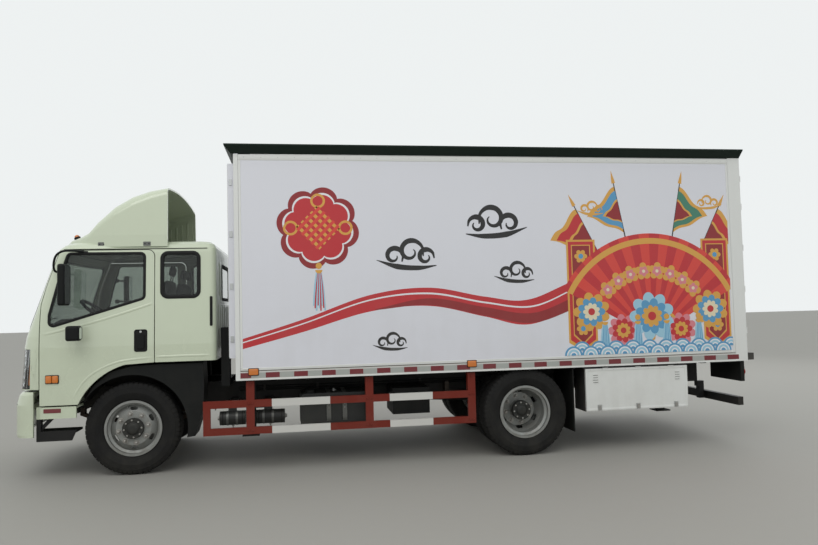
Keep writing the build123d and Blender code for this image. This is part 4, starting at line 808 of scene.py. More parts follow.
def layCloud(centre, size, ink, layer, flip=1):
    # three brush scrolls on a long tail
    x, z = centre
    scrolls = ((0.0, 0.0, 0.50, 1.25, 200), (0.62, -0.16, 0.36, 1.2, 215), (-0.56, -0.20, 0.32, 1.2, 190))
    for step, (dx, dz, radius, turns, first) in enumerate(scrolls):
        path = spiral((0, 0), radius, 0.10, -turns, first)
        path = np.stack([x + flip * size * (dx + path[:, 0]), z + size * (dz + path[:, 1])], -1)
        lay(stroke(path[::4], (0.05 * size, 0.19 * size, 0.16 * size, 0.10 * size, 0.03 * size), 44), ink,
            layer + 0.5 * step)
    tail = [(x - flip * size * 0.95, z - size * 0.52), (x - flip * size * 0.3, z - size * 0.60),
            (x + flip * size * 0.5, z - size * 0.54), (x + flip * size * 1.25, z - size * 0.30)]
    lay(stroke(tail, (0.03 * size, 0.17 * size, 0.20 * size, 0.02 * size)), ink, layer + 1.5)


def layFan(centre, inner, outer, start, end, pleats, inks, layer):
    # an open fan: pleats in two shades, a border, a row of rounds, and slim ribs down to the pin
    step = (end - start) / pleats
    for i in range(pleats):
        lay(sector(centre, inner, outer, start + i * step, start + (i + 1) * step, 4), inks[i % 2], layer)
        rib = start + (i + 0.5) * step
        lay(sector(centre, 0.02, inner, rib - 0.9, rib + 0.9, 3), inkBlack, layer)
    lay(sector(centre, outer * 0.90, outer * 0.955, start, end, 60), inkGold, layer + 1)
    lay(sector(centre, inner, inner + outer * 0.03, start, end, 60), inkGold, layer + 1)
    for i in range(1, pleats // 2 - 1):
        angle = radians(start + (2 * i + 1) * step)
        spot = np.asarray(centre) + (inner + outer) / 2 * np.array([cos(angle), sin(angle)])
        for scale, turn, ink, lift in ((0.085, 0.0, inkGold, 1 + i % 2), (0.050, 0.6, inkPink, 3)):
            lay(rosette(spot, outer * scale, 5, 0.35, angle + turn), ink, layer + lift)
        lay(disc(spot, outer * 0.016, 16), inkPale, layer + 4)
    lay(disc(centre, 0.030, 24), inkGold, layer + 2)


def layPennant(foot, length, lean, width, drop, ink, layer, flip=1):
    # a pole with a gilt tip and a waved three-cornered flag: border, field and a smaller flag inside it
    foot = np.asarray(foot, float)
    way = np.array([sin(radians(lean)), cos(radians(lean))])
    tip = foot + way * length
    lay(stroke([foot, (foot + tip) / 2, tip], (0.016, 0.014, 0.010), 8), inkBlack, layer)
    lay(stroke([tip, tip + way * 0.05, tip + way * 0.13], (0.040, 0.030, 0.002), 12), inkGold, layer + 1)
    for scale, colour, lift in ((1.0, inkGold, 0), (0.84, ink, 1), (0.52, inkGold, 2), (0.44, inkDeep, 3)):
        top = tip - way * drop * (0.06 + 0.5 * (1 - scale))
        share = np.linspace(0, 1, 40)[:, None]
        point = tip - way * drop * 0.55 + np.array([flip * width * scale, -0.12 * width])
        low = tip - way * drop * (0.94 - 0.4 * (1 - scale))
        wave = 0.05 * width * np.sin(share * pi * 3) * scale
        upper = top + (point - top) * share + np.hstack([np.zeros_like(wave), wave])
        lower = low + (point - low) * share + np.hstack([np.zeros_like(wave), wave * 0.6])
        lay(np.vstack([upper, lower[::-1][1:]]), colour, layer + lift)


def layTassel(top, length, spread, ink, layer, strands=9):
    # a knob, a collar and strands that fan out slightly and end uneven
    top = np.asarray(top, float)
    for i in range(strands):
        share = (i / (strands - 1) - 0.5) * 2
        end = top + np.array([spread * share, -length * (1 - 0.06 * (i % 3))])
        lay(stroke([top + (share * 0.018, -0.03), (top + end) / 2 + (spread * share * 0.22, 0), end],
                   (0.012, 0.017, 0.013), 14), ink if i % 2 else inkSky, layer + 0.3 * i)
    lay(sector(top + (0, -0.028), 0.0, 0.034, 180, 360, 14), inkGold, layer + 3.5)
    lay(disc(top + (0, 0.012), 0.030, 24), inkGold, layer + 4)


def layBanner(front, rear, low, high, layer):
    # a hanging banner with a pointed foot: borders inside one another and a column of flower rounds
    middle = (front + rear) / 2
    for index, (inset, ink) in enumerate(((0.0, inkGold), (0.020, inkRed), (0.052, inkGold), (0.062, inkDeep))):
        a, b, foot = front - inset, rear + inset, low + 1.4 * inset
        lay([(a, high - inset), (b, high - inset), (b, foot + 0.09), (middle, foot), (a, foot + 0.09)], ink,
            layer + 0.12 * index)
    for z in np.arange(high - 0.17, low + 0.15, -0.185):
        lay(rosette((middle, z), 0.070, 6, 0.34), inkGold, layer + 0.48)
        lay(disc((middle, z), 0.026, 20), inkBlue, layer + 0.6)


def layKnot(centre, size, ink, layer):
    # a woven knot: crossing bands inside a square stood on its corner, with loops at three corners
    turn = np.array([[cos(pi / 4), -sin(pi / 4)], [sin(pi / 4), cos(pi / 4)]])

    def place(points):
        return np.asarray(centre) + np.asarray(points, float) @ turn.T * size
    for k in np.linspace(-0.42, 0.42, 5):
        a, b, end = k - 0.052, k + 0.052, 0.52
        lay(place([(-end, a), (end, a), (end, b), (-end, b)]), ink, layer)
        lay(place([(a, -end), (b, -end), (b, end), (a, end)]), inkBright, layer + 1)
    for corner in ((0.62, 0.62), (-0.62, 0.62), (0.62, -0.62)):
        ring = disc((0, 0), 0.20, 36)
        lay(place(stroke(np.vstack([ring, ring[:1]])[::3] + corner, (0.075, 0.075), 60)), ink, layer)


def layWaves(left, right, low, rows, radius, layer):
    # overlapping half rounds in rows, each of five rings
    rings = ((1.0, inkBlue), (0.80, inkWhite), (0.66, inkSky), (0.42, inkWhite), (0.28, inkBlue))
    for row in range(rows):
        z = low + (rows - 1 - row) * radius * 0.52
        shift = radius * (row % 2)
        for x in np.arange(right + shift, left + 0.001, 2 * radius):
            for ring, (share, ink) in enumerate(rings):
                lay(sector((x, z), 0.0, radius * share, 0, 180, 18), ink, layer + 5 * row + ring)


def drawPrint():
    # a long ribbon that climbs from the front, dips and runs behind the fan, a deeper fold and a pale line along it
    lay(band([(-1.014, 1.245), (-1.60, 1.420), (-2.25, 1.640), (-2.84, 1.700), (-3.40, 1.600), (-3.85, 1.560),
              (-4.40, 1.760), (-5.00, 1.90), (-5.40, 1.72)],
             [(-1.014, 1.150), (-1.60, 1.300), (-2.25, 1.480), (-2.84, 1.520), (-3.40, 1.400), (-3.85, 1.310),
              (-4.40, 1.470), (-5.00, 1.55), (-5.40, 1.40)], 120), inkRed, 1)
    lay(band([(-2.30, 1.502), (-2.84, 1.595), (-3.40, 1.495), (-3.90, 1.425), (-4.40, 1.600)],
             [(-2.30, 1.492), (-2.84, 1.527), (-3.40, 1.407), (-3.90, 1.325), (-4.40, 1.477)], 60), inkDeep, 2)
    lay(band([(-1.014, 1.215), (-1.60, 1.385), (-2.25, 1.598), (-2.84, 1.652), (-3.40, 1.550), (-3.90, 1.500),
              (-4.40, 1.690)],
             [(-1.014, 1.204), (-1.60, 1.373), (-2.25, 1.584), (-2.84, 1.635), (-3.40, 1.533), (-3.90, 1.484),
              (-4.40, 1.678)], 80), inkWhite, 3)
    # ink clouds over and under the ribbon, and a woven knot near the front
    for centre, size, flip in (((-2.66, 2.06), 0.270, 1), ((-3.50, 2.38), 0.290, -1), ((-3.74, 1.86), 0.190, 1),
                               ((-2.46, 1.20), 0.155, 1)):
        layCloud(centre, size, inkBlack, 4, flip)
    knotAt = (-1.76, 2.30)
    for lift, (radius, ink) in enumerate(((0.40, inkDeep), (0.345, inkWhite), (0.325, inkRed))):
        lay(rosette(knotAt, radius, 8, 0.16, 0.2), ink, 4 + lift)
    layKnot(knotAt, 0.30, inkGold, 7)
    layTassel((-1.76, 1.92), 0.42, 0.055, inkRed, 7)
    # the festive group at the rear: pennants behind, an open fan, flower rounds, tassels, and waves below
    pennants = ((-4.96, 1.30, 27, 0.42, 0.62, inkRed, 1), (-5.08, 1.42, 11, 0.36, 0.56, inkBlue, 1),
                (-5.28, 1.42, -11, 0.36, 0.56, inkGreen, -1), (-5.40, 1.30, -27, 0.42, 0.62, inkRed, -1))
    for index, (foot, length, lean, width, drop, ink, flip) in enumerate(pennants):
        layPennant((foot, 1.35), length, lean, width, drop, ink, 2 + 0.25 * index, flip)
    for front, rear in ((-4.27, -4.58), (-5.76, -6.07)):
        layBanner(front, rear, 1.02, 2.16, 6.2)
    layFan((-5.18, 1.14), 0.30, 1.08, 28, 152, 20, (inkRed, inkBright), 7)
    sunny, rosy, watery = (inkGold, inkBlue, inkPale), (inkPink, inkRed, inkGold), (inkSky, inkBlue, inkGold)
    rounds = ((-4.52, 1.42, 0.20, sunny), (-5.84, 1.42, 0.20, sunny), (-4.86, 1.22, 0.17, rosy),
              (-5.50, 1.22, 0.17, rosy), (-5.18, 1.36, 0.25, watery))
    for index, (x, z, r, inks) in enumerate(rounds):
        layer = 12 + 0.2 * index
        for lift, (scale, ink) in enumerate(zip((1.0, 0.74, 0.46), inks)):
            lay(rosette((x, z), r * scale, 9, 0.28, lift * 0.35), ink, layer + lift)
        lay(disc((x, z), r * 0.18, 24), inkRed, layer + 3)
    for x, length in ((-4.66, 0.36), (-5.02, 0.40), (-5.34, 0.40), (-5.70, 0.36)):
        layTassel((x, 1.34), length, 0.05, inkBlue, 16)
    layWaves(-4.28, -6.06, 0.982, 2, 0.092, 20.5)
    for centre, size, flip in (((-4.56, 2.50), 0.13, 1), ((-5.86, 2.56), 0.13, -1)):
        layCloud(centre, size, inkGold, 6, flip)


drawPrint()
for name, side in (("left", 1), ("right", -1)):
    makePiece(f"sidePrint_{name}", sided(printed, side), f"wing_body_{name}", smooth=30)
print("side print laid:", len(printed), "shapes")

# The cab's outer form, for pieces that lie on it: height against half width and front station
cabForm = {"height": [0.690, 0.850, 1.218, 1.322, 2.096, 2.135, 2.172, 2.197, 2.210],
           "half": [1.040, 1.040, 1.040, 1.035, 0.985, 0.978, 0.958, 0.920, 0.850],
           "front": [1.084, 1.084, 1.057, 1.039, 0.774, 0.752, 0.706, 0.640, 0.545],
           "corner": [0.165, 0.165, 0.165, 0.150, 0.120, 0.118, 0.112, 0.106, 0.100], "bow": 4.5, "rear": -0.780}


def cabSide(z):
    return np.interp(z, cabForm["height"], cabForm["half"])


def onCabSide(outline, depth):
    # an outline of (station, height) laid on the cab's left side, stood off by a depth
    return np.column_stack([at(outline[:, 0]), cabSide(outline[:, 1]) + depth, outline[:, 1]])


def cabNose(y, z):
    # station of the front face: an arc of the bow's radius, then the round corner down to the side
    half, front, corner = (np.interp(z, cabForm["height"], cabForm[key]) for key in ("half", "front", "corner"))
    bow = cabForm["bow"]
    y = np.abs(y)
    centre = front - bow + np.sqrt((bow - corner) ** 2 - (half - corner) ** 2)
    touch = bow * np.sin(np.arctan2(half - corner, centre - (front - bow)))
    onBow = front - bow + np.sqrt(bow ** 2 - np.minimum(y, touch) ** 2)
    reach = np.clip(y - (half - corner), -corner, corner * 0.999)
    return np.where(y < touch, onBow, centre + np.sqrt(corner ** 2 - reach ** 2))


def sidePatch(outline, lift, sink, side=1):
    # a thin plate that follows the cab's side, outline as (station, height)
    sheets = np.vstack([onCabSide(outline, -sink), onCabSide(outline, lift)])
    return onSide((sheets, cappedFaces(2, len(outline))), side)


def moved(outline, distance):
    # a closed outline moved outwards by a distance along the normals of its neighbours
    outline = np.asarray(outline, float)
    way = unit(np.roll(outline, -1, 0) - np.roll(outline, 1, 0))
    area = np.sum(outline[:, 0] * np.roll(outline[:, 1], -1) - np.roll(outline[:, 0], -1) * outline[:, 1])
    normal = np.stack([way[:, 1], -way[:, 0]], -1) * np.sign(area)
    return outline + normal * distance


def gasketLoop(path, normals, width, height, side=1):
    # a low rubber section carried round a closed path: flat foot, domed top; one normal may serve every point
    section = np.array([(-0.5, -0.4), (-0.5, 0.45), (-0.3, 0.9), (0.0, 1.0), (0.3, 0.9), (0.5, 0.45), (0.5, -0.4)])
    normals = np.broadcast_to(normals, path.shape)
    way = unit(np.roll(path, -1, 0) - np.roll(path, 1, 0))
    across = unit(np.cross(way, normals))
    points = (path[:, None] + across[:, None] * section[None, :, :1] * width
              + normals[:, None] * section[None, :, 1:] * height)
    faces = [gridFaces(len(path), len(section), closeRows=True, closeColumns=True)]
    return onSide((points.reshape(-1, 3), faces), side)


def sideGasket(outline, width, height, side):
    return gasketLoop(onCabSide(np.asarray(outline, float), 0.0), (0.0, 1.0, 0.06), width, height, side)


doorWindow = roundedOutline([(0.718, 1.405), (-0.123, 1.660), (-0.124, 2.088), (0.560, 2.090), (0.640, 1.830),
                             (0.716, 1.520)], [0.038, 0.038, 0.038, 0.038, 0.0375, 0.0375], 6)
quarterWindow = roundedOutline([(-0.284, 1.667), (-0.621, 1.667), (-0.621, 2.088), (-0.284, 2.088)], 0.055, 8)


def frontGasket(outline, width, height):
    # the same section on the windscreen's opening, outline as (y, height)
    outline = np.asarray(outline, float)
    y, z = outline.T
    x = at(cabNose(y, z))
    path = np.column_stack([x, outline])
    slope = (at(cabNose(y, z + 0.01)) - x) / 0.01
    bend = (at(cabNose(y + 0.005, z)) - at(cabNose(y - 0.005, z))) / 0.01
    normals = np.column_stack([np.ones(len(x)), -bend, -slope])
    return gasketLoop(path, unit(normals), width, height)


windscreenEdge = roundedOutline([(-0.900, 1.378), (0.900, 1.378), (0.850, 2.058), (-0.850, 2.058)], 0.07, 8)
rearWindowEdge = rectangle((-0.45, 1.64), (0.45, 1.99), 0.06, 8)


def finely(outline, step=0.04):
    # more points on the long straights
    outline = np.asarray(outline, float)
    ends = np.roll(outline, -1, 0)
    counts = np.maximum(1, (np.linalg.norm(ends - outline, axis=1) / step).astype(int))
    start = np.repeat(outline, counts, 0)
    way = np.repeat((ends - outline) / counts[:, None], counts, 0)
    order = np.arange(len(start)) - np.repeat(np.cumsum(counts) - counts, counts)
    return start + way * order[:, None]


rearLoop = gasketLoop(facingEnd(rearWindowEdge, at(cabForm["rear"])), (-1.0, 0, 0), 0.034, 0.006)
screenLoop = frontGasket(finely(windscreenEdge), 0.034, 0.006)
makePiece("windscreenGasket", [(screenLoop, gasketBlack)], "cab")
makePiece("rearWindowGasket", [(rearLoop, gasketBlack)], "cab")

cabTrim = {"dripHeight": 2.137, "dripFront": 0.600, "dripRear": -0.70, "handleLow": 1.157, "handleHigh": 1.366,
           "handleFront": -0.033, "handleRear": -0.152, "ventFront": -0.722, "ventRear": -0.748, "ventLow": 1.382,
           "ventHigh": 1.666, "lampFront": 0.745, "lampRear": 0.627, "lampLow": 0.89, "lampHigh": 0.969}


def handleParts(side):
    # a black bezel round a dished floor, and the lever that stands across it
    t = cabTrim
    x0, x1, z0, z1 = t["handleRear"], t["handleFront"], t["handleLow"], t["handleHigh"]
    outer = rectangle((x0, z0), (x1, z1), 0.022, 6)
    floor = moved(outer, -0.010)
    y = cabSide(1.26)
    rings = ((outer, -0.002), (outer, 0.003), (moved(outer, -0.004), 0.006), (moved(outer, -0.009), 0.006),
             (moved(outer, -0.012), 0.002), (floor, -0.002))
    bezel = loopSolid([onCabSide(outline, depth) for outline, depth in rings])
    plate = sidePatch(floor, 0.0034, 0.003)
    middle = (x0 + x1) / 2
    grip = domed((middle - 0.034, z0 + 0.026), (middle + 0.034, z1 - 0.040), 0.016,
                 ((0, 0.001), (0, 0.011), (0.004, 0.015)), onCabSide)
    lock = lathe([(0, 0), (0.011, 0), (0.011, 0.004), (0.009, 0.006), (0, 0.006)],
                 (at(middle), y + 0.001, z1 - 0.022), (0, 1, 0), 20)
    return sided([(bezel, plasticBlack), (plate, gasketBlack), (grip, plasticBlack), (lock, strapSteel)], side)


def turnLampParts(side):
    # two amber cells on one black base
    t = cabTrim
    x0, x1, z0, z1 = t["lampRear"], t["lampFront"], t["lampLow"], t["lampHigh"]
    parts = [(sidePatch(rectangle((x0, z0), (x1, z1), 0.008, 4), 0.006, 0.002), gasketBlack)]
    middle = (x0 + x1) / 2
    dome = ((0, 0.004), (0, 0.014), (0.004, 0.019), (0.012, 0.021))
    for a, b in ((x0 + 0.005, middle - 0.002), (middle + 0.002, x1 - 0.005)):
        parts.append((domed((a, z0 + 0.006), (b, z1 - 0.006), 0.010, dome, onCabSide), amberLens))
    return sided(parts, side)


def creaseStrip(points, width, height, side, count=60):
    # a pressed line in the door skin: a low soft ridge along a curve on the side
    path = onCabSide(curve(points, count), 0.0)
    across = np.cross(unit(np.gradient(path, axis=0)), (0.0, 1.0, 0.0))
    share = np.linspace(0, 1, count)
    ease = np.sqrt(np.clip(np.minimum(share, 1 - share) * 8, 0, 1))[:, None, None]
    t = np.linspace(-0.5, 0.5, 9)
    rise = np.cos(t * pi)
    rise[[0, -1]] = -0.4
    ridge = path[:, None] + across[:, None] * (t * width)[None, :, None]
    ridge = ridge + np.array([0, 1.0, 0]) * (rise[None, :, None] * height * ease)
    foot = ridge[:, [-1, 0]] - np.array([0, height * 1.2, 0])
    ridge = np.concatenate([ridge, foot], 1)
    n = ridge.shape[1]
    ends = [np.array([np.arange(n)]), np.array([np.arange(n) + (count - 1) * n])]
    faces = [gridFaces(count, n, closeColumns=True)] + ends
    return onSide((ridge.reshape(-1, 3), faces), side)


def dripRail(side):
    # a folded lip over the door, with a thin black tube below it as painted shadow in the groove
    t = cabTrim
    x = np.linspace(t["dripRear"], t["dripFront"], 40)
    z = t["dripHeight"] - 0.004 * np.clip((x - 0.45) / 0.25, 0, 1) ** 2
    parts = []
    # the second, black tube is painted shadow under the lip
    for shift, radius, material in ((0.0, 0.0042, cabPaint), (-0.0075, 0.0030, gasketBlack)):
        path = np.column_stack([at(x), cabSide(z + shift) + 0.0018, z + shift])
        parts.append((tube(path, radius, 8), material))
    return sided(parts, side)


def ventParts(side):
    # a black frame behind the door with level blades
    t = cabTrim
    frame = sidePatch(rectangle((t["ventRear"], t["ventLow"]), (t["ventFront"], t["ventHigh"]), 0.010), 0.003, 0.003)
    rear, front = at(t["ventRear"] + 0.005), at(t["ventFront"] - 0.005)
    blades = [block((rear, cabSide(z) - 0.001, z), (front, cabSide(z) + 0.005, z + 0.006))
              for z in np.arange(t["ventLow"] + 0.014, t["ventHigh"] - 0.016, 0.016)]
    return sided([(frame, gasketBlack), (joined(blades), plasticBlack)], side)


# Pressed lines of the door and the sill: points, width and height
doorLines = (([(0.780, 1.335), (0.30, 1.452), (-0.10, 1.575), (-0.198, 1.61)], 0.030, 0.0035),
             ([(0.500, 0.760), (0.420, 0.890), (0.300, 0.990), (0.100, 1.070), (-0.198, 1.102)], 0.026, 0.003))
sillLines = (([(-0.225, 1.104), (-0.45, 1.106), (-0.725, 1.106)], 0.026, 0.003),)
for name, side in (("left", 1), ("right", -1)):
    door = f"cab_door_{name}"
    doorLoop = sideGasket(finely(doorWindow), 0.026, 0.005, side)
    quarterLoop = sideGasket(finely(quarterWindow), 0.036, 0.008, side)
    makePiece(f"doorGasket_{name}", [(doorLoop, gasketBlack)], door)
    makePiece(f"quarterGasket_{name}", [(quarterLoop, gasketBlack)], "cab")
    makePiece(f"doorHandle_{name}", handleParts(side), door)
    makePiece(f"turnLamp_{name}", turnLampParts(side), door)
    makePiece(f"dripRail_{name}", dripRail(side), "cab")
    for piece, body, lines in (("doorPressing", door, doorLines), ("sillPressing", "cab", sillLines)):
        makePiece(f"{piece}_{name}", [(creaseStrip(*line, side), cabPaint) for line in lines], body)
    makePiece(f"cabVent_{name}", ventParts(side), "cab")
print("cab sides dressed")

# The box: frame strips of the wings, corner strips, tape, marker lamps, rear door fittings
boxForm = {"front": -0.970, "rear": -6.247, "half": 1.150, "wingLow": 0.952, "wingHigh": 3.010, "wingFront": -1.012,
           "wingRear": -6.106, "bowTop": 3.019, "bowHalf": 1.0385, "tapeLow": 0.8815, "tapeHigh": 0.9305,
           "tapePitch": 0.265}


def wingFrame(side):
    # strips with a stepped section along all four edges, and a row of rivets along the top one
    b = boxForm
    y = b["half"]
    front, rear, low, high = at(b["wingFront"]), at(b["wingRear"]), b["wingLow"], b["wingHigh"]
    step = [(0.0, -0.001), (0.0, 0.0026), (0.004, 0.0034), (0.050, 0.0034), (0.054, 0.0016), (0.056, -0.001)]
    top = [(y + d, high - s) for s, d in step]
    foot = [(y + d * 0.8, low + s * 0.45) for s, d in step]
    parts = [(prism(top, "front", rear, front), whitePaint), (prism(foot, "front", rear, front), whitePaint)]
    for edge, way in ((front, -1), (rear, 1)):
        strip = [(edge + way * s * 0.40, y + d) for s, d in step]
        parts.append((prism(strip, "plan", low + 0.025, high - 0.056), whitePaint))
    rivet = lathe([(0.0045, -0.0005), (0.0045, 0.0006), (0.0030, 0.0017), (0, 0.0020)], (0, y + 0.0030, high - 0.027),
                  (0, 1, 0), 8)
    parts.append((rowOf(rivet, np.arange(rear + 0.08, front - 0.04, 0.16)), strapSteel))
    return sided(parts, side)


def wingHinge(side):
    # a long piano hinge under the eave: knuckles in turn along the pin line
    b = boxForm
    pin = np.array(joints["wing_left_lift"]["pos_m"])
    length, gap = 0.118, 0.003
    starts = np.arange(at(b["wingRear"]) + 0.02, at(b["wingFront"]) - 0.13, length + gap)
    one = lathe([(0, 0), (0.0050, 0), (0.0050, length), (0, length)], (0, pin[1], pin[2]), (1, 0, 0), 10)
    return sided([(rowOf(one, starts), strapSteel)], side)


def wingRibs(side):
    # pressed stiffeners on the wing's inner skin: nine uprights and three long rails
    b = boxForm
    inner, deep = b["half"] - 0.045, 0.014
    front, rear = at(b["wingFront"]) - 0.09, at(b["wingRear"]) + 0.09
    low, high = b["wingLow"] + 0.09, b["wingHigh"] - 0.14
    skin, face, railFace = inner + 0.001, inner - deep, inner - deep - 0.003
    parts = []
    for x in np.linspace(rear, front, 9):
        upright = [(x - 0.035, skin), (x - 0.022, face), (x + 0.022, face), (x + 0.035, skin)]
        parts.append((prism(upright, "plan", low, high), whitePaint))
    for z in (low, (low + high) / 2, high):
        rail = [(skin, z - 0.032), (railFace, z - 0.020), (railFace, z + 0.020), (skin, z + 0.032)]
        parts.append((prism(rail, "front", rear - 0.04, front + 0.04), whitePaint))
    return sided(parts, side)


def roofBows():
    # hat-section bows across the roof's underside, between the rails that carry the wings
    top, half = boxForm["bowTop"], boxForm["bowHalf"]
    bows = []
    for x in np.linspace(at(-5.85), at(-1.25), 10):
        section = [(x - 0.045, top), (x - 0.025, 2.988), (x + 0.025, 2.988), (x + 0.045, top)]
        bows.append((prism(section, "side", -half, half), whitePaint))
    return bows


def tapeRun(side):
    # red and silver pieces in turn along the floor's side rail, and the rail's folded foot
    b = boxForm
    y, pitch = b["half"], b["tapePitch"]
    piece = prism(rectangle((-0.131, b["tapeLow"]), (0.0, b["tapeHigh"]), 0.003, 3), "side", y - 0.0005, y + 0.0009)
    parts = []
    for shift, material in ((0.0, tapeRed), (-pitch / 2, tapeSilver)):
        parts.append((rowOf(piece, at(np.arange(-0.978 + shift, b["rear"] + 0.13, -pitch))), material))
    lip = [(y - 0.001, 0.8605), (y + 0.004, 0.8605), (y + 0.004, 0.872), (y + 0.0022, 0.8745), (y - 0.001, 0.8745)]
    parts.append((prism(lip, "front", at(b["rear"]) + 0.138, at(b["front"])), whitePaint))
    return sided(parts, side)


markerForm = {"stations": (-1.131, -3.248), "low": 0.903, "high": 0.974, "half": 0.050, "edge": 0.006}


def sideMarker(station, side):
    # amber block lens on a black foot, straddling the rail's tape
    m = markerForm
    x, y, reach = at(station), boxForm["half"], m["half"] - m["edge"]
    dome = ((0, y + 0.003), (0, y + 0.013), (0.004, y + 0.017), (0.016, y + 0.018))
    lens = domed((x - reach, m["low"] + m["edge"]), (x + reach, m["high"] - m["edge"]), 0.010, dome, facingSide)
    foot = rectangle((x - m["half"], m["low"]), (x + m["half"], m["high"]), 0.008)
    base = prism(foot, "side", y - 0.0005, y + 0.0045)
    return sided([(base, gasketBlack), (lens, amberLens)], side)


def cornerStrip(side):
    # the front corner: an angle strip on the wall's edge, three ribs on the column beside it, and four brackets
    b = boxForm
    front = at(b["front"])
    angle = [(front + 0.003, 1.108), (front + 0.003, 1.1532), (front - 0.040, 1.1532), (front - 0.040, 1.149),
             (front - 0.001, 1.149), (front - 0.001, 1.108)]
    parts = [(prism(angle, "plan", 0.866, 3.012), whitePaint)]
    for y in (1.052, 1.0725, 1.093):
        rib = [(front + 0.0615, y - 0.004), (front + 0.0660, y - 0.0025), (front + 0.0660, y + 0.0025),
               (front + 0.0615, y + 0.004)]
        parts.append((prism(rib, "plan", 1.08, 2.92), whitePaint))
    for z in (1.25, 1.75, 2.25, 2.75):
        parts.append((block((front + 0.02, 1.0995, z - 0.03), (front + 0.05, 1.1075, z + 0.03)), strapSteel))
    return sided(parts, side)


rearForm = {"sealLow": (0.004, 0.988), "sealHigh": (1.062, 2.922), "rods": (0.180, 0.700), "rodLow": 1.012,
            "rodHigh": 2.900, "rodRadius": 0.0142, "gripHeight": 1.475, "lensFace": -6.248, "lensLow": 0.698,
            "lensHigh": 0.792, "rounds": (0.60, 1.10), "roundHeight": 0.745, "topLamps": (-1.02, -0.09, 0.0, 0.09, 1.02),
            "topHeight": 2.974, "barFace": -6.240, "barLow": 0.402, "barHigh": 0.451, "plateLow": (-0.22, 0.874),
            "plateHigh": (0.22, 0.968)}


def doorSeal(side):
    # a rubber section round each rear door, seen as a dark line
    ring = finely(rectangle(rearForm["sealLow"], rearForm["sealHigh"], 0.012, 4), 0.2)
    return gasketLoop(facingEnd(ring, at(boxForm["rear"])), (-1.0, 0, 0), 0.014, 0.006, side)


def lockFittings(side):
    # bright sleeves on the lock rods, cam keepers at both ends, handle grip and its catch, ribs on the door skin
    f, rear = rearForm, at(boxForm["rear"])
    x = rear - 0.026
    bolt = [(0, 0), (0.006, 0), (0.006, 0.004), (0, 0.005)]
    parts = []
    for y in f["rods"]:
        parts.append((rod((x, y, f["rodLow"]), (x, y, f["rodHigh"]), f["rodRadius"], 16), strapSteel))
        for z, way in ((1.000, 1), (2.912, -1)):
            cam = [(rear - 0.045, z - 0.012), (rear - 0.008, z - 0.012), (rear - 0.002, z + way * 0.014),
                   (rear - 0.045, z + way * 0.014)]
            parts.append((prism(cam, "side", y - 0.026, y + 0.026), strapSteel))
        for z in (1.10, 1.50, 2.00, 2.50, 2.85):
            for dz in (-0.014, 0.014):
                parts.append((lathe(bolt, (rear - 0.0255, y + 0.021, z + dz), (-1, 0, 0), 6), nutSteel))
    z = f["gripHeight"]
    gripLine = [(rear - 0.0545, 0.165, z), (rear - 0.056, 0.30, z), (rear - 0.0545, 0.515, z)]
    parts.append((tube(gripLine, 0.0125, 12), strapSteel))
    catch = rectangle((0.440, 1.425), (0.505, 1.525), 0.008, 4)
    parts.append((prism(catch, "front", rear - 0.034, rear), strapSteel))
    face, skin = rear - 0.0035, rear + 0.001
    for z in np.arange(1.10, 2.86, 0.22):
        rib = [(face, z - 0.030), (face, z + 0.030), (skin, z + 0.036), (skin, z - 0.036)]
        parts.append((prism(rib, "side", 0.235, 0.660), whitePaint))
    return sided(parts, side)


def tailLenses(side):
    # three cells a side, each a shallow dome in its own colour, and two round reflectors
    f = rearForm
    x = at(f["lensFace"])
    dome = ((0, x + 0.001), (0, x - 0.008), (0.005, x - 0.012), (0.022, x - 0.014))
    disc = [(0, 0), (0.030, 0), (0.030, 0.006), (0.026, 0.009), (0, 0.010)]
    parts = []
    for y0, y1, material in ((0.650, 0.785, whiteLens), (0.790, 0.925, amberLens), (0.930, 1.070, redLens)):
        parts.append((domed((y0, f["lensLow"]), (y1, f["lensHigh"]), 0.010, dome, facingEnd), material))
    parts += [(lathe(disc, (at(-6.220), y, f["roundHeight"]), (-1, 0, 0), 24), redLens) for y in f["rounds"]]
    return sided(parts, side)


for name, side in (("left", 1), ("right", -1)):
    wing = f"wing_body_{name}"
    makePiece(f"wingFrame_{name}", wingFrame(side), wing)
    makePiece(f"wingHinge_{name}", wingHinge(side), wing)
    makePiece(f"wingRibs_{name}", wingRibs(side), wing)
    makePiece(f"sideTape_{name}", tapeRun(side), "chassis")
    for index, station in enumerate(markerForm["stations"]):
        makePiece(f"sideMarker_{name}_{index}", sideMarker(station, side), "chassis")
    makePiece(f"cornerStrip_{name}", cornerStrip(side), "chassis", bevel=0.0006)
    makePiece(f"rearDoorSeal_{name}", [(doorSeal(side), gasketBlack)], f"load_door_{name}")
    makePiece(f"rearDoorLocks_{name}", lockFittings(side), f"load_door_{name}")
    makePiece(f"tailLenses_{name}", tailLenses(side), "chassis")


def rearFittings():
    # clearance lamps on the header, tape on the underrun bar and a blank plate with two screws on the sill
    f, wall, bar = rearForm, at(boxForm["rear"]), at(rearForm["barFace"])
    lamp = [(0, -0.002), (0.024, -0.002), (0.024, 0.007), (0.019, 0.012), (0, 0.014)]
    screw = [(0, 0), (0.007, 0), (0.007, 0.003), (0, 0.004)]
    parts = [(lathe(lamp, (wall, y, f["topHeight"]), (-1, 0, 0), 20), redLens) for y in f["topLamps"]]
    for index, y in enumerate(np.arange(-1.035, 1.03, 0.138)):
        strip = rectangle((y, f["barLow"]), (y + 0.132, f["barHigh"]), 0.003, 3)
        parts.append((prism(strip, "front", bar - 0.0009, bar + 0.0005), (tapeRed, tapeSilver)[index % 2]))
    plate = rectangle(f["plateLow"], f["plateHigh"], 0.010)
    parts.append((prism(plate, "front", wall - 0.004, wall + 0.0005), whiteLens))
    parts += [(lathe(screw, (wall - 0.004, y, 0.921), (-1, 0, 0), 6), nutSteel) for y in (-0.19, 0.19)]
    return parts


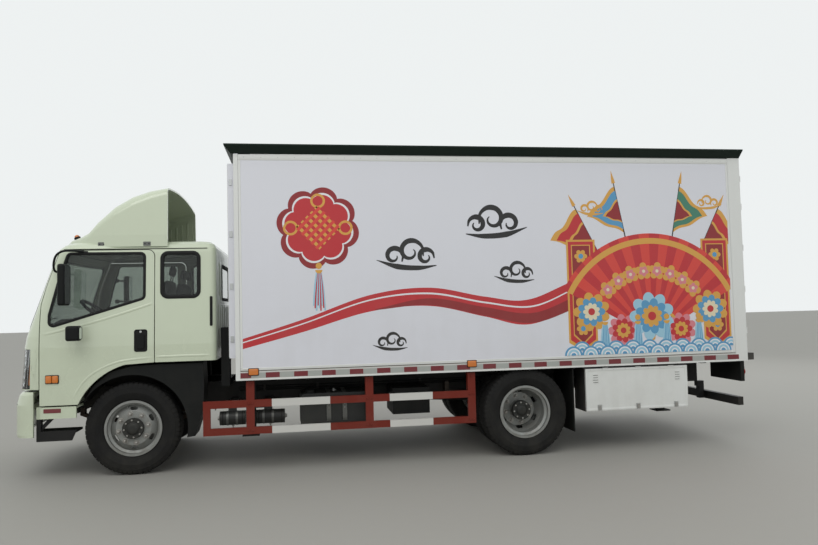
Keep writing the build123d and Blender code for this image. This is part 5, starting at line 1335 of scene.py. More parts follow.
makePiece("rearFittings", rearFittings(), "chassis")
makePiece("roofBows", roofBows(), "chassis")
print("box dressed")

# Below the floor: tool box faces, tank straps and cap, guard bolts, pipes, step treads
underForm = {"boxFront": -4.439, "boxRear": -5.556, "boxLow": 0.409, "boxHigh": 0.838, "boxFace": 1.130,
             "tankFront": -1.558, "tankRear": -2.243, "tankLow": 0.387, "tankHigh": 0.690, "tankIn": 0.500,
             "tankOut": 0.970, "tankRound": 0.060, "airRuns": ((-0.782, -1.030), (-1.128, -1.410)), "airOut": 0.790,
             "airHeight": 0.466, "airLow": 0.399, "posts": (-1.057, -2.190, -3.211), "guardFace": 1.110,
             "guardRails": (0.384, 0.638)}


def lidFace(side):
    # a folded frame round the lid, two short columns of louvres with a black slot under each hood as painted shade of
    # its opening, and three latches along the foot
    u = underForm
    y = u["boxFace"]
    x0, x1 = at(u["boxRear"]), at(u["boxFront"])
    z0, z1 = u["boxLow"], u["boxHigh"]
    rings = [facingSide(rectangle((x0, z0), (x1, z1), 0.006, 3, inset), y + depth) for inset, depth in
             ((0, -0.002), (0, 0.0025), (0.003, 0.004), (0.022, 0.004), (0.027, 0.0005), (0.027, -0.002))]
    parts = [(loopSolid(rings), whitePaint)]
    hood = np.array([(-0.028, 0.0), (0.028, 0.0), (0.024, 0.011), (-0.024, 0.011)])
    # the black slot is painted shade in the opening under each hood
    slot = np.array([(-0.025, -0.0045), (0.025, -0.0045), (0.025, 0.0005), (-0.025, 0.0005)])
    for station in (-4.545, -5.445):
        for index in range(4):
            place = (at(station), z1 - 0.065 - 0.024 * index)
            parts += [(prism(hood + place, "side", y - 0.001, y + 0.009), whitePaint),
                      (prism(slot + place, "side", y - 0.001, y + 0.0012), gasketBlack)]
    for station in (-4.58, -5.00, -5.42):
        x = at(station)
        body = rectangle((x - 0.022, z0 + 0.004), (x + 0.022, z0 + 0.062), 0.006)
        lever = rectangle((x - 0.012, z0 + 0.010), (x + 0.012, z0 + 0.052), 0.005)
        parts.append((prism(body, "side", y - 0.001, y + 0.008), strapSteel))
        parts.append((prism(lever, "side", y + 0.007, y + 0.015), nutSteel))
    rivet = lathe([(0.004, -0.001), (0.004, 0.0046), (0.0025, 0.0056), (0, 0.006)], (0, y, z1 - 0.013), (0, 1, 0), 8)
    parts.append((rowOf(rivet, np.arange(x0 + 0.05, x1 - 0.03, 0.127)), strapSteel))
    return sided(parts, side)


def tankHoop(x, section):
    # a band round the tank's round-cornered outline: its section as (along, outwards)
    u = underForm
    ring = rectangle((u["tankIn"], u["tankLow"]), (u["tankOut"], u["tankHigh"]), u["tankRound"], 8)
    return loopSolid([facingEnd(moved(ring, lift), x + dx) for dx, lift in section])


def tankStrap(x, width=0.045):
    # a bright band on a rubber strip, drawn tight by a bolt through two lugs
    y, top = underForm["tankOut"], underForm["tankHigh"]
    parts = []
    for half, low, high, material in ((width / 2 + 0.006, -0.001, 0.003, gasketBlack),
                                      (width / 2, 0.002, 0.006, bandSteel)):
        parts.append((tankHoop(x, ((-half, low), (-half, high), (half, high), (half, low))), material))
    parts.append((rod((x, y + 0.012, top - 0.15), (x, y + 0.012, top - 0.06), 0.005, 10), nutSteel))
    for low, high in ((0.13, 0.112), (0.090, 0.072)):
        parts.append((block((x - 0.014, y + 0.004, top - low), (x + 0.014, y + 0.022, top - high)), bandSteel))
    return parts


def tankFittings():
    # two straps, the filler cap, the level sender and a pressed rib near each end
    u = underForm
    capLine = [(0, -0.02), (0.040, -0.02), (0.040, 0.004), (0.048, 0.004), (0.048, 0.026), (0.042, 0.032),
               (0.016, 0.034), (0, 0.034)]
    senderLine = [(0, -0.01), (0.034, -0.01), (0.034, 0.005), (0.012, 0.006), (0.012, 0.016), (0, 0.018)]
    ribLine = ((-0.006, -0.002), (-0.004, 0.0025), (0.004, 0.0025), (0.006, -0.002))
    parts = tankStrap(at(-1.839)) + tankStrap(at(-1.996))
    parts.append((lathe(capLine, (at(-1.66), u["tankOut"] - 0.075, u["tankHigh"]), (0, 0, 1), 28), plasticBlack))
    parts.append((lathe(senderLine, (at(-1.90), 0.72, u["tankHigh"]), (0, 0, 1), 24), strapSteel))
    ribs = [tankHoop(at(station), ribLine) for station in (u["tankFront"] - 0.012, u["tankRear"] + 0.012)]
    parts.append((joined(ribs), tankAlloy))
    return parts


def airTankFittings():
    # weld beads, clamps, end bosses and drain valves of the two air tanks
    u = underForm
    y, z = u["airOut"], u["airHeight"]
    bead = [(0.0665, -0.006), (0.0690, -0.004), (0.0700, 0), (0.0690, 0.004), (0.0665, 0.006)]
    boss = [(0, -0.004), (0.022, -0.004), (0.022, 0.008), (0.016, 0.010), (0.016, 0.022), (0, 0.022)]
    drain = [(0, -0.004), (0.012, -0.004), (0.012, 0.012), (0.006, 0.014), (0.006, 0.026), (0, 0.026)]
    clamp = [(0.0685, -0.011), (0.0705, -0.011), (0.0705, 0.011), (0.0685, 0.011)]
    parts = []
    for start, stop in u["airRuns"]:
        for s in (start - 0.030, stop + 0.030):
            parts.append((lathe(bead, (at(s), y, z), (1, 0, 0), 40, closed=True), chassisBlack))
        for s, way in ((start, 1), (stop, -1)):
            parts.append((lathe(boss, (at(s), y, z), (way, 0, 0), 18), nutSteel))
        parts.append((lathe(drain, (at((start + stop) / 2), y, u["airLow"]), (0, 0, -1), 14), nutSteel))
        for s in (start - 0.075, start - 0.165):
            parts.append((lathe(clamp, (at(s), y, z), (1, 0, 0), 40, closed=True), bandSteel))
    return parts


def guardBolts(side):
    # pairs of bolts where the rails cross the posts, one at each post's head, and black end caps on the rails
    posts, face = underForm["posts"], (0, underForm["guardFace"], 0)
    boltLine = [(0, -0.001), (0.013, -0.001), (0.013, 0.002), (0.0095, 0.002), (0.0095, 0.008), (0.008, 0.009),
                (0, 0.009)]
    headLine = [(0, -0.001), (0.011, -0.001), (0.011, 0.008), (0, 0.009)]
    spots = [(at(post - dx), 0.0, z) for post in posts for dx in (0.020, 0.056) for z in underForm["guardRails"]]
    heads = [(at(post - 0.038), 0.0, 0.815) for post in posts]
    parts = [(copies(lathe(boltLine, face, (0, 1, 0), 6), spots), guardPaint),
             (copies(lathe(headLine, face, (0, 1, 0), 6), heads), guardPaint)]
    for z0, z1 in ((0.351, 0.417), (0.603, 0.672)):
        parts.append((block((at(-3.2885), 1.0785, z0 + 0.002), (at(-3.2865), 1.1095, z1 - 0.002)), gasketBlack))
    return sided(parts, side)


def rowOfTreads(rear, front, y0, y1, top, pitch=0.024):
    # raised bars across a step, to hold the sole
    bar = block((-0.004, y0, top - 0.001), (0.004, y1, top + 0.004))
    return rowOf(bar, np.arange(at(rear) + pitch / 2, at(front), pitch))


def stepFittings(side):
    # bars on both steps, and a red strip on the riser between them
    strip = prism(rectangle((at(0.614), 0.622), (at(0.763), 0.660), 0.004), "side", 1.0295, 1.0335)
    return sided([(rowOfTreads(0.500, 0.825, 0.82, 0.98, 0.452), plasticBlack),
                  (rowOfTreads(0.492, 0.790, 0.83, 1.00, 0.675), plasticBlack), (strip, tapeRed)], side)


def smoothLine(points, count):
    # a smooth line in space: drawn once in side view and once in plan
    p = np.asarray(points, float)
    flat = curve(p[:, [0, 2]], count)
    side = curve(p[:, [0, 1]], count)
    return np.column_stack([flat[:, 0], side[:, 1], flat[:, 1]])


def railPipes():
    # three pipes along each frame rail, held by clips
    y = 0.421
    parts = []
    for z, radius in ((0.705, 0.008), (0.728, 0.006), (0.688, 0.006)):
        way = [(at(-0.95), y, z), (at(-2.2), y, z - 0.004), (at(-3.4), y, z), (at(-5.2), y, z - 0.003)]
        pipe = tube(smoothLine(way, 40), radius, 8)
        parts += [(pipe, plasticBlack), (mirrored(pipe), plasticBlack)]
    clips = [block((at(s) - 0.012, 0.4095, 0.678), (at(s) + 0.012, 0.4325, 0.740))
             for s in np.arange(-1.2, -5.1, -0.55)]
    parts.append((joined(clips + [mirrored(c) for c in clips]), castIron))
    return parts


for name, side in (("left", 1), ("right", -1)):
    makePiece(f"toolLidFace_{name}", lidFace(side), f"box_lid_{name}")
    makePiece(f"guardBolts_{name}", guardBolts(side), "chassis")
    makePiece(f"stepFittings_{name}", stepFittings(side), "chassis")
makePiece("tankFittings", tankFittings(), "chassis")
makePiece("airTankFittings", airTankFittings(), "chassis")
makePiece("railPipes", railPipes(), "chassis")
print("underside dressed")

# The cab's front: lamps behind clear shells, bumper fittings, wipers, mirror faces, roof lamps and ribs
bumperForm = {"height": [0.406, 0.430, 0.700, 0.790, 0.820], "half": [1.045] * 5, "corner": [0.160] * 5,
              "front": [1.118, 1.125, 1.125, 1.100, 1.070], "bow": 4.5}
lampForm = {"inner": 0.642, "rear": 0.882, "low": 0.850, "high": 1.206, "lens": 0.003, "back": 0.021, "edge": 0.004,
            "column": 5, "bowl": 0.027, "beam": 0.056}


def noseLine(form, z, inset, share):
    # plan line at height z: along the bow, round the corner, then straight back; share runs 0..1 over its length
    half, front, corner = (np.interp(z, form["height"], form[key]) for key in ("half", "front", "corner"))
    bow = form["bow"]
    cy = half - corner
    cx = front - bow + np.sqrt((bow - corner) ** 2 - cy ** 2)
    turn = np.arctan2(cy, cx - (front - bow))
    start, rear = form["inner"], form["rear"]
    a0 = np.arcsin(start / bow)
    lengths = np.array([bow * (turn - a0), corner * (pi / 2 - turn), max(cx - rear, 1e-4)])
    s = np.asarray(share) * lengths.sum()
    onBow = a0 + s / bow
    onCorner = turn + (s - lengths[0]) / corner
    straight = s - lengths[0] - lengths[1]
    first, last = s < lengths[0], s > lengths[0] + lengths[1]
    x = np.where(first, front - bow + (bow - inset) * np.cos(onBow), cx + (corner - inset) * np.cos(onCorner))
    y = np.where(first, (bow - inset) * np.sin(onBow), cy + (corner - inset) * np.sin(onCorner))
    return np.where(last, cx - straight, x), np.where(last, half - inset, y)


def noseShell(form, shares, heights, outer, inner, side, columns=40, rows=14):
    # a closed plate between two depths under the nose's skin
    share = np.linspace(*shares, columns)
    points = []
    for inset in (outer, inner):
        for z in np.linspace(*heights, rows):
            x, y = noseLine(form, z, inset, share)
            points.append(np.column_stack([at(x), y, np.full(columns, z)]))
    return onSide(closedSheet(np.vstack(points), rows, columns), side)


def noseSpot(form, z, inset, shares):
    # a place on the nose, and the level direction square to it there, from three shares close together
    x, y = noseLine(form, z, inset, np.array(shares))
    return (at(x[1]), y[1], z), np.array([y[2] - y[0], -(x[2] - x[0]), 0.0])


def lampBowl(centre, way, radius, depth):
    # a bright bowl with a raised rim and a small clear bulb in its middle
    bowl = lathe([(0, -depth), (radius * 0.35, -depth * 0.98), (radius * 0.75, -depth * 0.55), (radius * 0.94, 0),
                  (radius, 0.0008), (radius * 1.05, 0), (radius * 1.05, -depth * 0.4), (radius * 0.6, -depth * 1.25),
                  (0, -depth * 1.35)], centre, way, 28)
    bulb = lathe([(0, -depth), (radius * 0.24, -depth * 0.95), (radius * 0.26, -depth * 0.45),
                  (radius * 0.16, -depth * 0.2), (0, -depth * 0.12)], centre, way, 14)
    return [(bowl, reflector), (bulb, whiteLens)]


def headlampParts(side):
    # a clear shell and a black back with a frame between them, slim bright dividers, bowls and an amber corner
    f = lampForm
    form = dict(cabForm, inner=f["inner"], rear=f["rear"])
    z0, z1, e = f["low"], f["high"], f["edge"]
    parts = [(noseShell(form, (0, 1), (z0, z1), 0.0003, f["lens"], side), lampGlass),
             (noseShell(form, (0, 1), (z0, z1), f["back"], f["back"] + 0.0025, side), plasticBlack)]
    frame = (((0, 1), (z0, z0 + e)), ((0, 1), (z1 - e, z1)), ((0, 0.012), (z0, z1)), ((0.988, 1), (z0, z1)))
    for shares, heights in frame:
        parts.append((noseShell(form, shares, heights, f["lens"] + 0.0004, f["back"], side, 40, 6), plasticBlack))
    for shares, inset in (((0.52, 0.535), 0.010), ((0.80, 0.812), 0.008)):
        parts.append((noseShell(form, shares, (z0 + e, z1 - e), inset, f["back"], side, 6, 12), reflector))
    for index in range(f["column"]):
        z = z0 + 0.048 + index * (z1 - z0 - 0.096) / (f["column"] - 1)
        spot, way = noseSpot(form, z, 0.010, (0.655, 0.665, 0.675))
        parts += sided(lampBowl(spot, way, f["bowl"], 0.009), side)
    for z in (z0 + 0.085, z1 - 0.085):
        spot, _ = noseSpot(form, z, 0.0115, (0.20, 0.21, 0.22))
        parts += sided(lampBowl(spot, (1, 0.06, 0), f["beam"], 0.0075), side)
    parts.append((noseShell(form, (0.845, 0.96), (z0 + 0.030, z1 - 0.030), 0.0085, 0.0205, side, 10, 14), amberLens))
    return parts


def bumperParts():
    # two dark intakes with bars, fog lamps in round seats and the seam under the top edge
    form = dict(bumperForm, inner=0.0, rear=0.86)
    seatLine = [(0, -0.012), (0.070, -0.012), (0.070, 0.003), (0.064, 0.007), (0.054, 0.007), (0.050, 0.002),
                (0, 0.002)]
    glassLine = [(0, 0.001), (0.049, 0.001), (0.047, 0.006), (0.030, 0.010), (0, 0.012)]
    parts = []
    for side in (1, -1):
        parts.append((noseShell(form, (0.205, 0.46), (0.500, 0.640), -0.0025, 0.002, side, 30, 6), gasketBlack))
        for z in (0.518, 0.546, 0.574, 0.602):
            parts.append((noseShell(form, (0.212, 0.453), (z, z + 0.012), -0.0055, 0.001, side, 30, 3), plasticBlack))
        parts.append((noseShell(form, (0.0, 0.86), (0.7045, 0.710), -0.0008, 0.002, side, 50, 2), gasketBlack))
        spot, way = noseSpot(form, 0.565, 0.0, (0.585, 0.59, 0.595))
        seat, glass = lathe(seatLine, spot, way, 36), lathe(glassLine, spot, way, 32)
        parts += sided([(seat, plasticBlack), (glass, whiteLens)], side)
    return parts


wiperForm = {"places": ((0.56, 0.22), (-0.12, -0.46)), "span": 0.30, "pivotHeight": 1.345, "reach": 0.115,
             "cap": [(0, -0.014), (0.018, -0.014), (0.018, 0.010), (0.012, 0.016), (0, 0.017)]}


def wiperParts():
    # two sprung arms from the scuttle, each with its blade laid along the glass
    w = wiperForm
    share, span = np.linspace(0, 1, 12), w["span"]
    parts = []
    for pivot, tip in w["places"]:
        foot = np.array([at(cabNose(pivot, w["pivotHeight"])) + 0.010, pivot, w["pivotHeight"]])
        parts.append((lathe(w["cap"], foot, (1, 0, 0.25), 16), plasticBlack))
        y = pivot + (tip - pivot) * share
        z = w["pivotHeight"] + w["reach"] * share
        lift = 0.014 + 0.010 * np.sin(share * pi)
        parts.append((tube(np.column_stack([at(cabNose(y, z)) + lift, y, z]), 0.0055, 8), plasticBlack))
        y = np.linspace(tip - span, tip + span * 0.8, 40)
        z = 1.458 + 0.035 * (tip + span * 0.8 - y) / span * 0.5
        for lift, radius in ((0.0065, 0.0045), (0.0125, 0.0052)):
            parts.append((tube(np.column_stack([at(cabNose(y, z)) + lift, y, z]), radius, 8), gasketBlack))
    return parts


def mirrorParts(side):
    # the glass in both housings, their pivots, and the bar from the door's top round to the upper arm
    parts = []
    edge = 0.017
    for station, y0, y1, z0, z1 in ((0.496, 1.140, 1.330, 1.603, 1.977), (0.398, 1.130, 1.250, 1.282, 1.418)):
        face = rectangle((y0 + edge, z0 + edge), (y1 - edge, z1 - edge), 0.018)
        parts.append((prism(face, "front", at(station - 0.0022), at(station + 0.001)), mirrorFace))
        rings = ((moved(face, 0.006), 0.002), (moved(face, 0.004), -0.004), (moved(face, 0.0005), -0.004),
                 (face, 0.002))
        parts.append((loopSolid([facingEnd(ring, at(station + dx)) for ring, dx in rings]), plasticBlack))
    bar = np.array([(0.423, cabSide(2.108) + 0.004, 2.108), (0.505, 1.030, 2.114), (0.585, 1.066, 2.108),
                    (0.640, 1.078, 2.066), (0.662, 1.074, 1.985), (0.655, 1.050, 1.925), (0.612, 0.998, 1.915)])
    way = smoothLine(bar, 60)
    way[:, 0] += frontAxle
    parts.append((tube(way, 0.0105, 12), plasticBlack))
    parts.append((sidePatch(rectangle((0.385, 2.092), (0.455, 2.114), 0.007, 4), 0.009, 0.002), plasticBlack))
    bossLine = [(0, -0.006), (0.026, -0.006), (0.026, 0.010), (0.020, 0.014), (0, 0.015)]
    pivotLine = [(0, -0.016), (0.021, -0.016), (0.021, 0.016), (0, 0.016)]
    for z in (1.665, 1.915):
        parts.append((lathe(bossLine, (at(0.598), cabSide(z) - 0.002, z), (0, 1, 0), 20), plasticBlack))
        parts.append((lathe(pivotLine, (at(0.527), 1.1475, z), (0, 0, 1), 20), plasticBlack))
    return sided(parts, side)


fairingForm = {"station": [-0.334, -0.160, 0.0, 0.160, 0.320, 0.400, 0.470, 0.600, 0.680],
               "half": [0.992, 0.990, 0.986, 0.978, 0.950, 0.925, 0.880, 0.760, 0.640],
               "top": [2.777, 2.748, 2.694, 2.598, 2.445, 2.342, 2.302, 2.262, 2.210],
               "corner": [0.080, 0.105, 0.120, 0.120, 0.090, 0.055, 0.040, 0.026, 0.012], "crease": 2.264,
               "lean": 0.032, "crown": 0.050, "wall": 0.014}


def fairingSide(station, z):
    # half width of the fairing's leaning side
    f = fairingForm
    half, top, corner = (np.interp(station, f["station"], f[key]) for key in ("half", "top", "corner"))
    shoulder = top - f["crown"] * (half / f["half"][0]) ** 2
    lean = f["lean"] * (shoulder - corner - f["crease"]) / (f["top"][0] - f["crease"])
    share = np.clip((z - f["crease"]) / np.maximum(shoulder - corner - f["crease"], 1e-3), 0, 1)
    return half - lean * share, shoulder - corner


def fairingInside(side):
    # a liner under wall, shoulder and crown, in a darker tone that paints the shade inside the fairing: the section's
    # points moved in by the wall and a little more
    f = fairingForm
    sheets = []
    for depth in (f["wall"] + 0.0015, f["wall"] + 0.004):
        for station in (-0.331, -0.22, -0.11, -0.01):
            top, corner = (np.interp(station, f["station"], f[key]) for key in ("top", "corner"))
            limit = fairingSide(station, 2.222)[1]
            z = np.linspace(2.222, float(limit), 10)
            wall = np.column_stack([fairingSide(station, z)[0] - depth, z])
            turn = np.linspace(0.12, 1, 8) * pi / 2
            reach = corner - depth
            edge = float(fairingSide(station, limit)[0]) - corner
            arc = np.column_stack([edge + reach * np.cos(turn), limit + reach * np.sin(turn)])
            y = np.linspace(edge - 0.02, 0.0, 14)
            start = limit + corner
            crown = np.column_stack([y, start - depth + (top - start) * (1 - (y / edge) ** 2)])
            line = np.vstack([wall, arc, crown])
            sheets.append(facingEnd(line, at(station)))
    return onSide(closedSheet(np.vstack(sheets), 4, len(sheets[0])), side)


def uprightBar(x, y, z, section):
    # a bar carried up a line of (y, z) points, with a four-cornered section given as (dx, dy) from that line
    rows = [np.column_stack([np.full(len(z), x + dx), y + dy, z]) for dx, dy in section]
    starts = np.arange(4)[None] * len(z)
    return np.vstack(rows), [gridFaces(4, len(z), closeRows=True), starts, starts + len(z) - 1]


def fairingParts():
    # stiffening ribs inside both walls and the liner, both in the painted shade tone, the bent-in rear edge, roof
    # marker lamps and small holding plates
    f = fairingForm
    ribSection = ((-0.014, 0.003), (-0.008, -0.010), (0.008, -0.010), (0.014, 0.003))
    edgeSection = ((0.0, -0.001), (0.0, -0.030), (0.004, -0.030), (0.004, -0.001))
    lampFoot = [(0, -0.01), (0.030, -0.01), (0.030, 0.010), (0.026, 0.014), (0, 0.014)]
    lampDome = [(0, 0.013), (0.023, 0.013), (0.021, 0.026), (0.012, 0.034), (0, 0.036)]
    screwLine = [(0, 0.003), (0.006, 0.003), (0.005, 0.007), (0, 0.007)]
    parts = []
    for side in (1, -1):
        parts.append((fairingInside(side), fairingLiner))
        for station in (-0.300, -0.235, -0.170, -0.105, -0.040):
            _, limit = fairingSide(station, 2.3)
            z = np.linspace(2.225, float(limit) - 0.02, 12)
            line = fairingSide(station, z)[0] - f["wall"]
            parts.append((onSide(uprightBar(at(station), line, z, ribSection), side), fairingLiner))
        edge = np.linspace(2.215, 2.690, 14)
        bar = uprightBar(at(-0.3335), fairingSide(-0.332, edge)[0], edge, edgeSection)
        parts.append((onSide(bar, side), cabPaint))
        spot = (at(0.560), 0.700 * side, 2.262)
        parts.append((lathe(lampFoot, spot, (0.35, 0, 1), 24), plasticBlack))
        parts.append((lathe(lampDome, spot, (0.35, 0, 1), 24), amberLens))
        for station in (0.27, -0.146):
            y = float(np.interp(station, f["station"], f["half"]))
            outline = rectangle((at(station) - 0.034, 2.158), (at(station) + 0.034, 2.198), 0.006)
            parts.append((onSide(prism(outline, "side", y - 0.003, y + 0.0035), side), bandSteel))
            points, faces = lathe(screwLine, (at(station), y, 2.178), (0, 1, 0), 10)
            parts += [(onSide((points + (shift, 0, 0), faces), side), plasticBlack) for shift in (-0.018, 0.018)]
    return parts


def cabRearParts():
    # pressed ribs under and beside the rear window: a section that rises from the wall and sinks into it again
    x, w, d = at(cabForm["rear"]), 0.036, 0.006
    below = [(k * 0.19, 1.14, 1.585) for k in range(-4, 5)]
    beside = [(side * 0.62, 1.64, 2.02) for side in (1, -1)]
    parts = []
    for y, z0, z1 in below + beside:
        outline = [(y - w, -0.001), (y - w * 0.6, d), (y + w * 0.6, d), (y + w, -0.001)]
        rows = []
        for z, lift in ((z0, 0.0), (z0 + 0.03, 1.0), (z1 - 0.03, 1.0), (z1, 0.0)):
            rows.append(np.array([(x - (dd * lift if dd > 0 else dd), yy, z) for yy, dd in outline]))
        ends = [np.array([[0, 1, 2, 3]]), np.array([[12, 13, 14, 15]])]
        parts.append(((np.vstack(rows), [gridFaces(4, 4, closeColumns=True)] + ends), cabPaint))
    return parts


for name, side in (("left", 1), ("right", -1)):
    makePiece(f"mirrorFittings_{name}", mirrorParts(side), f"cab_door_{name}")
makePiece("headlampUnits", headlampParts(1) + headlampParts(-1), "cab", replaces=["headlamps"])
makePiece("bumperFittings", bumperParts(), "chassis")
makePiece("wipers", wiperParts(), "cab")
makePiece("fairingFittings", fairingParts(), "cab")
makePiece("cabRearRibs", cabRearParts(), "cab")
print("cab front dressed")

# Inside the cab: padded seats, instrument cluster, vents, wheel grip and pedals
seatForm = {"places": ((0.520, 0.480), (-0.380, 0.780)), "front": 0.210, "rear": -0.270, "low": 1.290, "high": 1.400,
            "backFoot": (-0.264, -0.154), "backHead": (-0.360, -0.280), "backLow": 1.408, "backHigh": 2.000,
            "swell": 0.014, "voxel": 0.010}


def cushion(size, crown, edge=0.030, count=28):
    # a closed pad about the origin, thickness along z: near the edges of its rounded plan it thins by the square
    # root of a product of two parabolas, and its top carries a crown of (1 - a squared) times (1 - b squared)
    length, width, depth = np.asarray(size) - 2 * seatForm["swell"]
    u = np.linspace(-1, 1, count)
    a, b = np.meshgrid(u, u, indexing="ij")
    # the square of the grid is drawn onto a rounded rectangle by pulling its corners in
    pull = 1 - 0.055 * (a * b) ** 2
    x, y = a * pull * length / 2, b * pull * width / 2
    fallX = 1 - np.clip((np.abs(a) - (1 - 2 * edge / length)) / (2 * edge / length), 0, 1) ** 2
    fallY = 1 - np.clip((np.abs(b) - (1 - 2 * edge / width)) / (2 * edge / width), 0, 1) ** 2
    fall = np.sqrt(np.clip(fallX * fallY, 0, 1))
    top = (depth / 2 - crown) * fall + crown * (1 - a ** 2) * (1 - b ** 2)
    low = -depth / 2 * (0.55 + 0.45 * fall)
    sheets = [np.stack([x, y, z], -1).reshape(-1, 3) for z in (top, low)]
    return closedSheet(np.vstack(sheets), count, count)


def meshPoints(mesh):
    points = np.zeros(3 * len(mesh.vertices))
    mesh.vertices.foreach_get("co", points)
    return points.reshape(-1, 3)


def swollen(item):
    # the pad as cloth under pressure for twenty frames: remeshed first, its travel eased to a cap, flat below
    points, sets = item
    mesh = bpy.data.meshes.new("padStart")
    mesh.from_pydata(points.tolist(), [], [face for faces in sets for face in faces.tolist()])
    pad = bpy.data.objects.new("padStart", mesh)
    bpy.context.scene.collection.objects.link(pad)
    even = pad.modifiers.new("even", "REMESH")
    even.mode = "VOXEL"
    even.voxel_size = seatForm["voxel"]
    pad.data = bpy.data.meshes.new_from_object(pad.evaluated_get(bpy.context.evaluated_depsgraph_get()))
    pad.modifiers.remove(even)
    cloth = pad.modifiers.new("swell", "CLOTH")
    cloth.settings.use_pressure = True
    cloth.settings.uniform_pressure_force = 4.0
    cloth.settings.effector_weights.gravity = 0.0
    for step in range(1, 21):
        bpy.context.scene.frame_set(step)
    after = bpy.data.meshes.new_from_object(pad.evaluated_get(bpy.context.evaluated_depsgraph_get()))
    before = meshPoints(pad.data)
    travel = meshPoints(after) - before
    reach = np.linalg.norm(travel, axis=1)[:, None]
    print("pad swelled by up to", round(float(reach.max()), 4), "m over", len(before), "points")
    points = before + travel * seatForm["swell"] / (reach + seatForm["swell"])
    points[:, 2] = np.maximum(points[:, 2], before[:, 2].min())
    corners = np.zeros(len(after.loops), np.int32)
    after.loops.foreach_get("vertex_index", corners)
    bpy.data.objects.remove(pad)
    bpy.context.scene.frame_set(1)
    return points, [corners.reshape(-1, 4)]


def pad(size, crown, channels=(), edge=0.030, count=28):
    # the swollen cushion with shallow channels sewn across it
    points, sets = swollen(cushion(size, crown, edge, count))
    for place in channels:
        nearness = np.exp(-((points[:, 0] - place * size[0] / 2) / 0.009) ** 2)
        points[:, 2] -= 0.007 * nearness * (points[:, 2] > 0)
    return points, sets


def turnedPad(item, lean, centre):
    # a pad swung about the axis across the truck, then carried to its place
    points, sets = item
    c, s = cos(lean), sin(lean)
    x = points[:, 0] * c + points[:, 2] * s
    z = -points[:, 0] * s + points[:, 2] * c
    return np.column_stack([x, points[:, 1], z]) + np.asarray(centre), sets


def backLine():
    # foot of the backrest's middle line, its whole run and its lean, in the plane along the truck
    f = seatForm
    low = np.array([np.mean(f["backFoot"]), f["backLow"]])
    way = np.array([np.mean(f["backHead"]), f["backHigh"]]) - low
    return low, way, np.arctan2(way[0], way[1])


def onBack(share, y):
    low, way, _ = backLine()
    return np.array([at(low[0] + way[0] * share), y, low[1] + way[1] * share])


def restPlaces(y, width):
    return [y] if width < 0.6 else [y - 0.19, y + 0.19]


def seatPads(y, width):
    # seat, backrest stood on its end with its crown to the front, and one or two headrests
    f = seatForm
    _, way, lean = backLine()
    span = np.linalg.norm(way)
    length, depth = f["front"] - f["rear"], f["high"] - f["low"]
    middle = (at((f["front"] + f["rear"]) / 2), y, f["low"] + depth / 2)
    pads = [turnedPad(pad((length, width, depth), 0.016, (-0.45, 0.0, 0.45)), 0.0, middle),
            turnedPad(pad((span * 0.76, width, 0.096), 0.014, (-0.5, -0.1, 0.3)), lean - pi / 2, onBack(0.385, y))]
    for place in restPlaces(y, width):
        rest = pad((span * 0.220, 0.25, 0.075), 0.010, (), 0.022, 20)
        pads.append(turnedPad(rest, lean - pi / 2, onBack(0.885, place)))
    return joined(pads)


def restPosts():
    # two bright posts carry each headrest
    posts = []
    for y, width in seatForm["places"]:
        for place in restPlaces(y, width):
            for across in (place - 0.055, place + 0.055):
                posts.append(rod(onBack(0.70, across), onBack(0.84, across), 0.006, 12))
    return [(joined(posts), strapSteel)]


def dashParts():
    # a hooded cluster with two dials, four vents, a stack with knobs and a blank screen, and the glove box lid
    hood = np.array([(0.610, 1.398), (0.640, 1.475), (0.700, 1.480), (0.760, 1.452), (0.800, 1.420), (0.700, 1.390)])
    bezel = [(0, -0.002), (0.052, -0.002), (0.052, 0.005), (0.047, 0.006), (0.046, 0.001), (0, 0.001)]
    dial = [(0, 0.0), (0.0455, 0.0), (0.0455, 0.0022), (0, 0.0022)]
    knob = [(0, 0), (0.020, 0), (0.018, 0.018), (0.015, 0.020), (0, 0.020)]
    facing, panel = (-0.93, 0, 0.36), at(0.602)

    def plate(low, high, radius, face, back=panel, steps=4):
        return prism(rectangle(low, high, radius, steps), "front", at(face), back)
    parts = [(prism(np.column_stack([at(hood[:, 0]), hood[:, 1]]), "side", 0.340, 0.700), trimGrey)]
    for y in (0.445, 0.595):
        parts.append((lathe(bezel, (at(0.6225), y, 1.437), facing, 28), strapSteel))
        parts.append((lathe(dial, (at(0.6225), y, 1.437), facing, 28), gasketBlack))
    for y in (-0.86, -0.30, 0.16, 0.86):
        parts.append((plate((y - 0.065, 1.330), (y + 0.065, 1.385), 0.010, 0.594), plasticBlack))
        for z in (1.342, 1.353, 1.364, 1.375):
            parts.append((block((at(0.5905), y - 0.056, z - 0.0016), (at(0.5945), y + 0.056, z + 0.0016)), trimGrey))
    parts.append((plate((-0.17, 1.150), (0.03, 1.310), 0.010, 0.592), plasticBlack))
    parts.append((plate((-0.15, 1.240), (0.01, 1.300), 0.005, 0.5895, at(0.5925), 3), gasketBlack))
    parts += [(lathe(knob, (at(0.592), y, 1.195), (-1, 0, 0), 24), trimGrey) for y in (-0.13, -0.07, -0.01)]
    parts.append((plate((-0.78, 1.160), (-0.36, 1.300), 0.014, 0.5965), trimGrey))
    return parts


